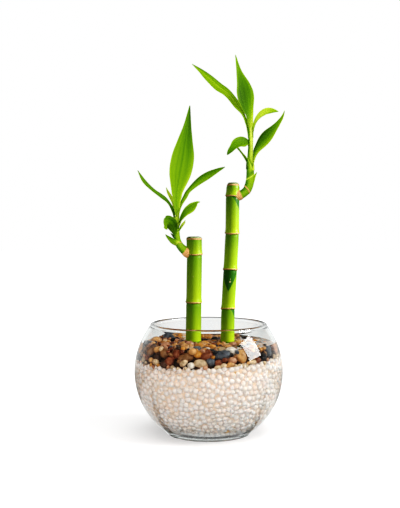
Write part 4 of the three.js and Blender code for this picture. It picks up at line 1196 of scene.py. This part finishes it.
def make_shoot(name, axis):
    """A bent stem with a tan collar, a scar ring and pale sheath seams. Its right side is lightened
    by a painted highlight, and a band just above each seam is darkened by painted shade.
    """
    look = COLLARS[name]
    t = np.linspace(0, 1, SHOOT_STEPS)
    centre, radius, up, across = shoot_frames(axis, t)
    radius = (radius + pairs_at(look["swell"], t))[:, None]
    grid_t, grid_angle = np.meshgrid(t, -angles_around(SHOOT_SIDES), indexing="ij")
    left, back = np.cos(grid_angle), np.sin(grid_angle)
    wobble = ripple(grid_angle, len(name))
    start, stop = look["tan"]
    level = grid_t - 0.008 * wobble
    tan = 1 - smoothstep(level, stop, stop + 0.015)
    radius = radius + COLLAR_RISE * tan + COLLAR_FLARE * (1 - smoothstep(level, start, stop))
    middle, slope = look["scar"]
    away = (grid_t - middle - slope * left - 0.004 * wobble) / SCAR_RING_HALF
    radius = radius + SCAR_RING_RISE * np.exp(-away ** 2)
    tan = np.maximum(tan, 1 - smoothstep(np.abs(away), 0.5, 1.1))
    # Painted highlight: the stem is lightened on its right and front, towards the key light.
    side = 0.5 - 0.5 * (PAINTED_LIT_SIDE[0] * left + PAINTED_LIT_SIDE[1] * back)
    pale_and_lit = pairs_at(look["pale_and_lit"], grid_t) * smoothstep(side, 0.4, 0.85)
    front = smoothstep(-back, -0.1, 0.3)
    for middle, slope in look["seams"]:
        away = (grid_t - middle - slope * left) / SEAM_HALF
        radius = radius + SEAM_RISE * front * (1 - smoothstep(away, -1.0, 1.0))
        # Painted shade in a band just above the seam, then a pale line along the seam itself.
        pale_and_lit = pale_and_lit * (1 - 0.75 * front * np.exp(-(away - 3.2) ** 2 / 7))
        pale_and_lit = np.maximum(pale_and_lit, 0.9 * front * np.exp(-away ** 2))
    sideways = up[:, None] * (radius * left)[..., None]
    backward = across[:, None] * (radius * back)[..., None]
    piece = tube(name.replace("shoot", "sprout"), centre[:, None] + sideways + backward)
    set_tube_values(piece, {"ring": tan, "pale_and_lit": pale_and_lit})
    dress(piece, "shoot", "shoot", name)


# ---- Leaves ----


def blade_middle(leaf, t, share):
    """The middle surface of a blade as a grid of points: an arc about the stem at the base, which
    opens to a shallow hollow along the blade."""
    rib = smooth_rows(leaf["rib"], t)
    along = tangents(leaf["rib"], t)
    inner = smooth_rows(leaf["face"], t)
    inner = unit(inner - along * (inner * along).sum(1, keepdims=True))
    side = np.cross(inner, along)
    opening = smoothstep(t, 0, SHEATH_SHARE)
    bend = np.radians(leaf["wrap"] + (leaf["fold"] - leaf["wrap"]) * opening)
    height, count = leaf["wave"]
    rippled = height * np.sin(2 * math.pi * count * t) * np.sin(math.pi * t)
    reach = np.maximum(rib[:, 3], BLADE_TIP_HALF)
    hollow = 1 - 0.5 * opening * (1 - np.cos(bend))
    angle = bend[:, None] * share
    sideways = reach[:, None] * np.sin(angle) / bend[:, None]
    depth = reach[:, None] * (hollow[:, None] - np.cos(angle)) / bend[:, None]
    depth = depth + rippled[:, None] * share ** 2 * np.sign(share)
    return (rib[:, None, :3] + side[:, None] * sideways[..., None] + inner[:, None] * depth[..., None]), inner


def clasp(points, stem, gap):
    """Moves points that lie in a stem out to just over its skin."""
    t = np.linspace(0, 1, 120)
    centre, radius, _, _ = shoot_frames(SHOOTS[stem], t)
    flat = points.reshape(-1, 3)
    distance = np.linalg.norm(flat[:, None] - centre[None], axis=2)
    nearest = distance.argmin(1)
    away = flat - centre[nearest]
    limit = radius[nearest] + gap
    length = np.maximum(np.linalg.norm(away, axis=1), 1e-6)
    push = np.maximum(limit / length, 1.0)
    moved = centre[nearest] + away * push[:, None]
    inside_span = (nearest < len(t) - 1)[:, None]
    return np.where(inside_span, moved, flat).reshape(points.shape)


def grid_normals(points, inner):
    """Normals of a grid of points, turned to the side that `inner` looks along."""
    normal = unit(np.cross(np.gradient(points, axis=1), np.gradient(points, axis=0)))
    facing = (normal[:, normal.shape[1] // 2] * inner).sum(1)
    return normal * np.where(facing < 0, -1.0, 1.0)[:, None, None]


def blade_tone_and_shade(tones_and_shade, t, share):
    """Painted light and shade, with the blade's own lighter and darker green, over a blade, from its
    tones at the left edge, the midrib and the right edge.
    """
    left, middle, right = (column[:, None] for column in smooth_rows(tones_and_shade, t).T)
    return middle + (left - right) / 2 * share + ((left + right) / 2 - middle) * share ** 2


STEM_GAP = 0.3
BASE_PALE_SPAN = 0.22
RIM_PALE = 0.3


def make_leaf(name, leaf, seed):
    """A thin blade between two skins with a sharp rim."""
    t = np.linspace(0, 1, BLADE_STEPS + 1)
    share = np.linspace(-1, 1, BLADE_STRIPS + 1)
    middle, inner = blade_middle(leaf, t, share)
    middle = clasp(middle, leaf["stem"], STEM_GAP)
    half = np.maximum(smooth_rows(leaf["rib"], t)[:, 3], BLADE_TIP_HALF)
    thickness = BLADE_EDGE_THICKNESS + (BLADE_THICKNESS - BLADE_EDGE_THICKNESS) * (1 - share ** 2)
    thickness = thickness[None] * smoothstep(half, 0.0, 2.0)[:, None]
    offset = grid_normals(middle, inner) * thickness[..., None] / 2
    rows, columns = middle.shape[:2]
    points = np.vstack([(middle - offset).reshape(-1, 3), (middle + offset).reshape(-1, 3)])
    size = rows * columns
    edge = np.concatenate([
        np.arange(columns), columns * np.arange(1, rows) + columns - 1,
        (rows - 1) * columns + np.arange(columns - 2, -1, -1), columns * np.arange(rows - 2, 0, -1)])
    after = np.roll(edge, -1)
    rim = np.stack([edge, edge + size, after + size, after], -1)
    piece = add_object(name.replace("leaf", "blade").replace("bract", "scale"), points, [
        grid_faces(rows, columns, flip=True), grid_faces(rows, columns, first=size), rim])
    crease(piece, [edge, edge + size])
    grid_t, grid_share = np.meshgrid(t, share, indexing="ij")
    uv = np.stack([0.5 + 0.5 * grid_share + seed * 1.7, grid_t + seed * 0.37], -1).reshape(-1, 2)
    set_uv(piece, np.vstack([uv, uv]))
    pale_and_lit = (1 - smoothstep(grid_t, 0.0, BASE_PALE_SPAN)) * leaf["pale_and_lit"]
    pale_and_lit = np.maximum(pale_and_lit, RIM_PALE * smoothstep(np.abs(grid_share), 0.9, 1.0))
    # Painted light and shade over the blade, mixed with its own lighter and darker green.
    tone_and_shade = blade_tone_and_shade(leaf["tones_and_shade"], t, share)
    for key, values in (("pale_and_lit", pale_and_lit), ("tone_and_shade", tone_and_shade)):
        set_values(piece, key, np.tile(values.ravel(), 2))
    dress(piece, "leaf", "leaf", name)


# ---- Studio ----


FLOOR_GLOW = 0.42
# How the glass shows the floor: (distance behind the middle in metres, level). The dim bands are
# painted shade under and around the bowl, which only the glass shows.
FLOOR_IN_GLASS = [
    (-0.032, 1.0), (-0.027, 1.0), (-0.023, 0.03), (-0.014, 0.03), (-0.010, 1.0), (0.05, 1.0),
    (0.08, 0.25), (0.25, 0.25), (0.45, 0.95)]


def make_floor():
    """A white floor that takes a soft shadow near the bowl and fades to plain white farther out.
    It throws less light back on the object than it shows. Glass shows it with dim bands."""
    bpy.ops.mesh.primitive_plane_add(size=6, location=(0, 1.2, 0))
    floor = bpy.context.object
    floor.name = "studio_floor"
    shader = Shader("studio_white")
    position = shader.add("NewGeometry").outputs["Position"]
    reach = shader.add("VectorMath", {0: position}, operation="LENGTH").outputs["Value"]
    glow = shader.add("Emission", {"Strength": shader.spread(reach, 0.12, 0.6, FLOOR_GLOW, 1.0)})
    skin = shader.add("BsdfDiffuse", {"Color": (0.8, 0.8, 0.8)})
    both = shader.add("AddShader", {0: skin.outputs[0], 1: glow.outputs[0]})
    dim = shader.add("BsdfDiffuse", {"Color": (0.25, 0.25, 0.25)})
    depth = shader.add("SeparateXYZ", {0: position}).outputs["Y"]
    bands = shader.graded(depth, [(at, (level, level, level)) for at, level in FLOOR_IN_GLASS])
    banded = shader.add("Emission", {"Color": bands})
    path = shader.add("LightPath").outputs
    unseen = shader.either(path["Is Diffuse Ray"], banded, dim)
    surface = shader.either(path["Is Camera Ray"], unseen, both)
    floor.data.materials.append(shader.finish(surface))
    floor.active_material.cycles.emission_sampling = "NONE"


WORLD_FRONT = 0.12
WORLD_EDGES = (0.1, 0.75)
WORLD_TOP = 0.05
WORLD_TOP_EDGES = (0.15, 0.5)


def make_world():
    """White behind the object, dimmer in front and above, so that glass and rind show their form."""
    shader = Shader("studio", "worlds")
    direction = shader.add("TexCoord").outputs["Generated"]
    parts = shader.add("SeparateXYZ", {0: direction}).outputs
    behind = shader.spread(parts["Y"], *WORLD_EDGES, WORLD_FRONT, 1.0)
    below = shader.spread(parts["Z"], *WORLD_TOP_EDGES, 1.0, WORLD_TOP)
    seen = shader.add("LightPath").outputs["Is Camera Ray"]
    level = shader.math("MAXIMUM", shader.math("MULTIPLY", behind, below), seen)
    background = shader.add("Background", {"Color": level})
    bpy.context.scene.world = shader.finish(background, "OutputWorld")


def area_light(name, side, size, power, colour):
    """A soft light that looks at LIGHT_AIM. side is its azimuth from the front towards +X and its
    elevation, in degrees, and its distance."""
    light = bpy.data.lights.new(name, "AREA")
    light.shape = "RECTANGLE"
    light.size, light.size_y = size
    light.energy = power
    light.color = colour
    obj = link_object(name, light)
    azimuth, elevation = (math.radians(angle) for angle in side[:2])
    out = math.cos(elevation)
    offset = (math.sin(azimuth) * out, -math.cos(azimuth) * out, math.sin(elevation))
    obj.location = np.array(LIGHT_AIM) + np.array(offset) * side[2]
    obj.rotation_euler = (math.pi / 2 - elevation, 0, azimuth)
    return obj


KEY_SIDE = (80, 28, 0.9)
KEY_SIZE = (0.42, 0.42)
FILL_SIZE = (1.4, 1.4)
LIGHT_AIM = (0.03, -0.04, 0.08)
LIT_WITH = {
    "cane_rind": "canes", "sealing_wax": "canes", "shoot_skin": "leaves", "leaf_blade": "leaves",
    "studio_white": "floor"}
WHITE = (1, 1, 1)
WARM = (1, 0.86, 0.80)
# Lights: name with its group first, side, size, power, colour, and whether it shows in reflections.
LIGHTS = [
    ("canes_key", KEY_SIDE, KEY_SIZE, 22, WHITE, True),
    ("canes_fill", (-20, 20, 1.3), FILL_SIZE, 7.5, WHITE, False),
    ("canes_back", (170, 15, 1.3), FILL_SIZE, 9, WHITE, False),
    ("leaves_key", (60, 45, 0.9), KEY_SIZE, 6, WHITE, True),
    ("leaves_left", (-60, 20, 1.3), FILL_SIZE, 16, WHITE, False),
    ("leaves_front", (10, 12, 1.3), FILL_SIZE, 16, WHITE, False),
    ("leaves_back", (-120, 10, 1.3), FILL_SIZE, 10, WHITE, False),
    ("bowl_key", KEY_SIDE, KEY_SIZE, 5.5, WHITE, False),
    ("bowl_fill", (-30, 12, 1.3), FILL_SIZE, 14, WARM, False),
    ("bowl_low", (20, 1, 0.8), (1.4, 0.3), 4.2, WHITE, False),
    ("bowl_top", (20, 80, 1.3), FILL_SIZE, 9, WHITE, False),
    ("bowl_back", (170, 15, 1.3), FILL_SIZE, 9, WHITE, False),
    ("bowl_glint", (80, 28, 0.86), (0.4, 0.4), 7, WHITE, True),
    ("floor_key", KEY_SIDE, KEY_SIZE, 5, WHITE, False),
    ("floor_fill", (-25, 15, 1.3), FILL_SIZE, 9, WHITE, False),
    ("floor_top", (20, 80, 1.3), FILL_SIZE, 15, WHITE, False),
]


def make_lights():
    """A key softbox at the right and dim fill. Each group of pieces has its own lights. One light
    gives only the glass its glint, and the front one of the leaves throws no shadow."""
    groups = {}
    for group in ("canes", "leaves", "bowl", "floor"):
        groups[group] = bpy.data.collections.new("lit_" + group)
    for obj in bpy.context.scene.objects:
        if obj.type == "MESH":
            group = LIT_WITH.get(obj.active_material.name, "bowl")
            groups[group].objects.link(obj)
    for name, side, size, power, colour, reflected in LIGHTS:
        light = area_light("light_" + name, side, size, power, colour)
        light.visible_camera = False
        light.visible_diffuse = name != "bowl_glint"
        light.data.use_shadow = name != "leaves_front"
        light.visible_glossy = reflected
        light.visible_transmission = False
        light.light_linking.receiver_collection = groups[name.split("_")[0]]


TONE_POINTS = [(0.05, 0.018), (0.1, 0.058), (0.15, 0.11), (0.22, 0.195), (0.36, 0.365), (0.6, 0.62)]


def set_tones():
    """Plain colours, with deeper shadows."""
    view = bpy.context.scene.view_settings
    view.view_transform = "Standard"
    view.use_curve_mapping = True
    curve = view.curve_mapping.curves[3]
    for value, shown in TONE_POINTS:
        curve.points.new(value, shown)
    view.curve_mapping.update()


CAMERA_PLACE = (-0.00739, -0.752, 0.1835)
CAMERA_TILT = 0.04
CAMERA_LENS = 62.4
CAMERA_SENSOR = 36


def make_camera():
    camera = bpy.data.cameras.new("front_camera")
    camera.sensor_width = CAMERA_SENSOR
    camera.lens = CAMERA_LENS
    camera.clip_start = 0.01
    camera.clip_end = 50
    obj = link_object("front_camera", camera)
    obj.location = CAMERA_PLACE
    obj.rotation_euler = (math.pi / 2 - CAMERA_TILT, 0, 0)
    bpy.context.scene.camera = obj


make_camera()
make_world()
make_floor()
set_tones()

make_bowl()
make_water()
make_gravel()
make_gravel_bed()
make_pebbles()
make_pebble_bed()
for order, (cane_name, cane_form) in enumerate(CANES.items()):
    make_cane(cane_name, cane_form, order + 1)
for shoot_name, shoot_axis in SHOOTS.items():
    make_shoot(shoot_name, shoot_axis)
for order, (leaf_name, leaf_form) in enumerate(LEAVES.items()):
    make_leaf(leaf_name, leaf_form, order)
make_lights()
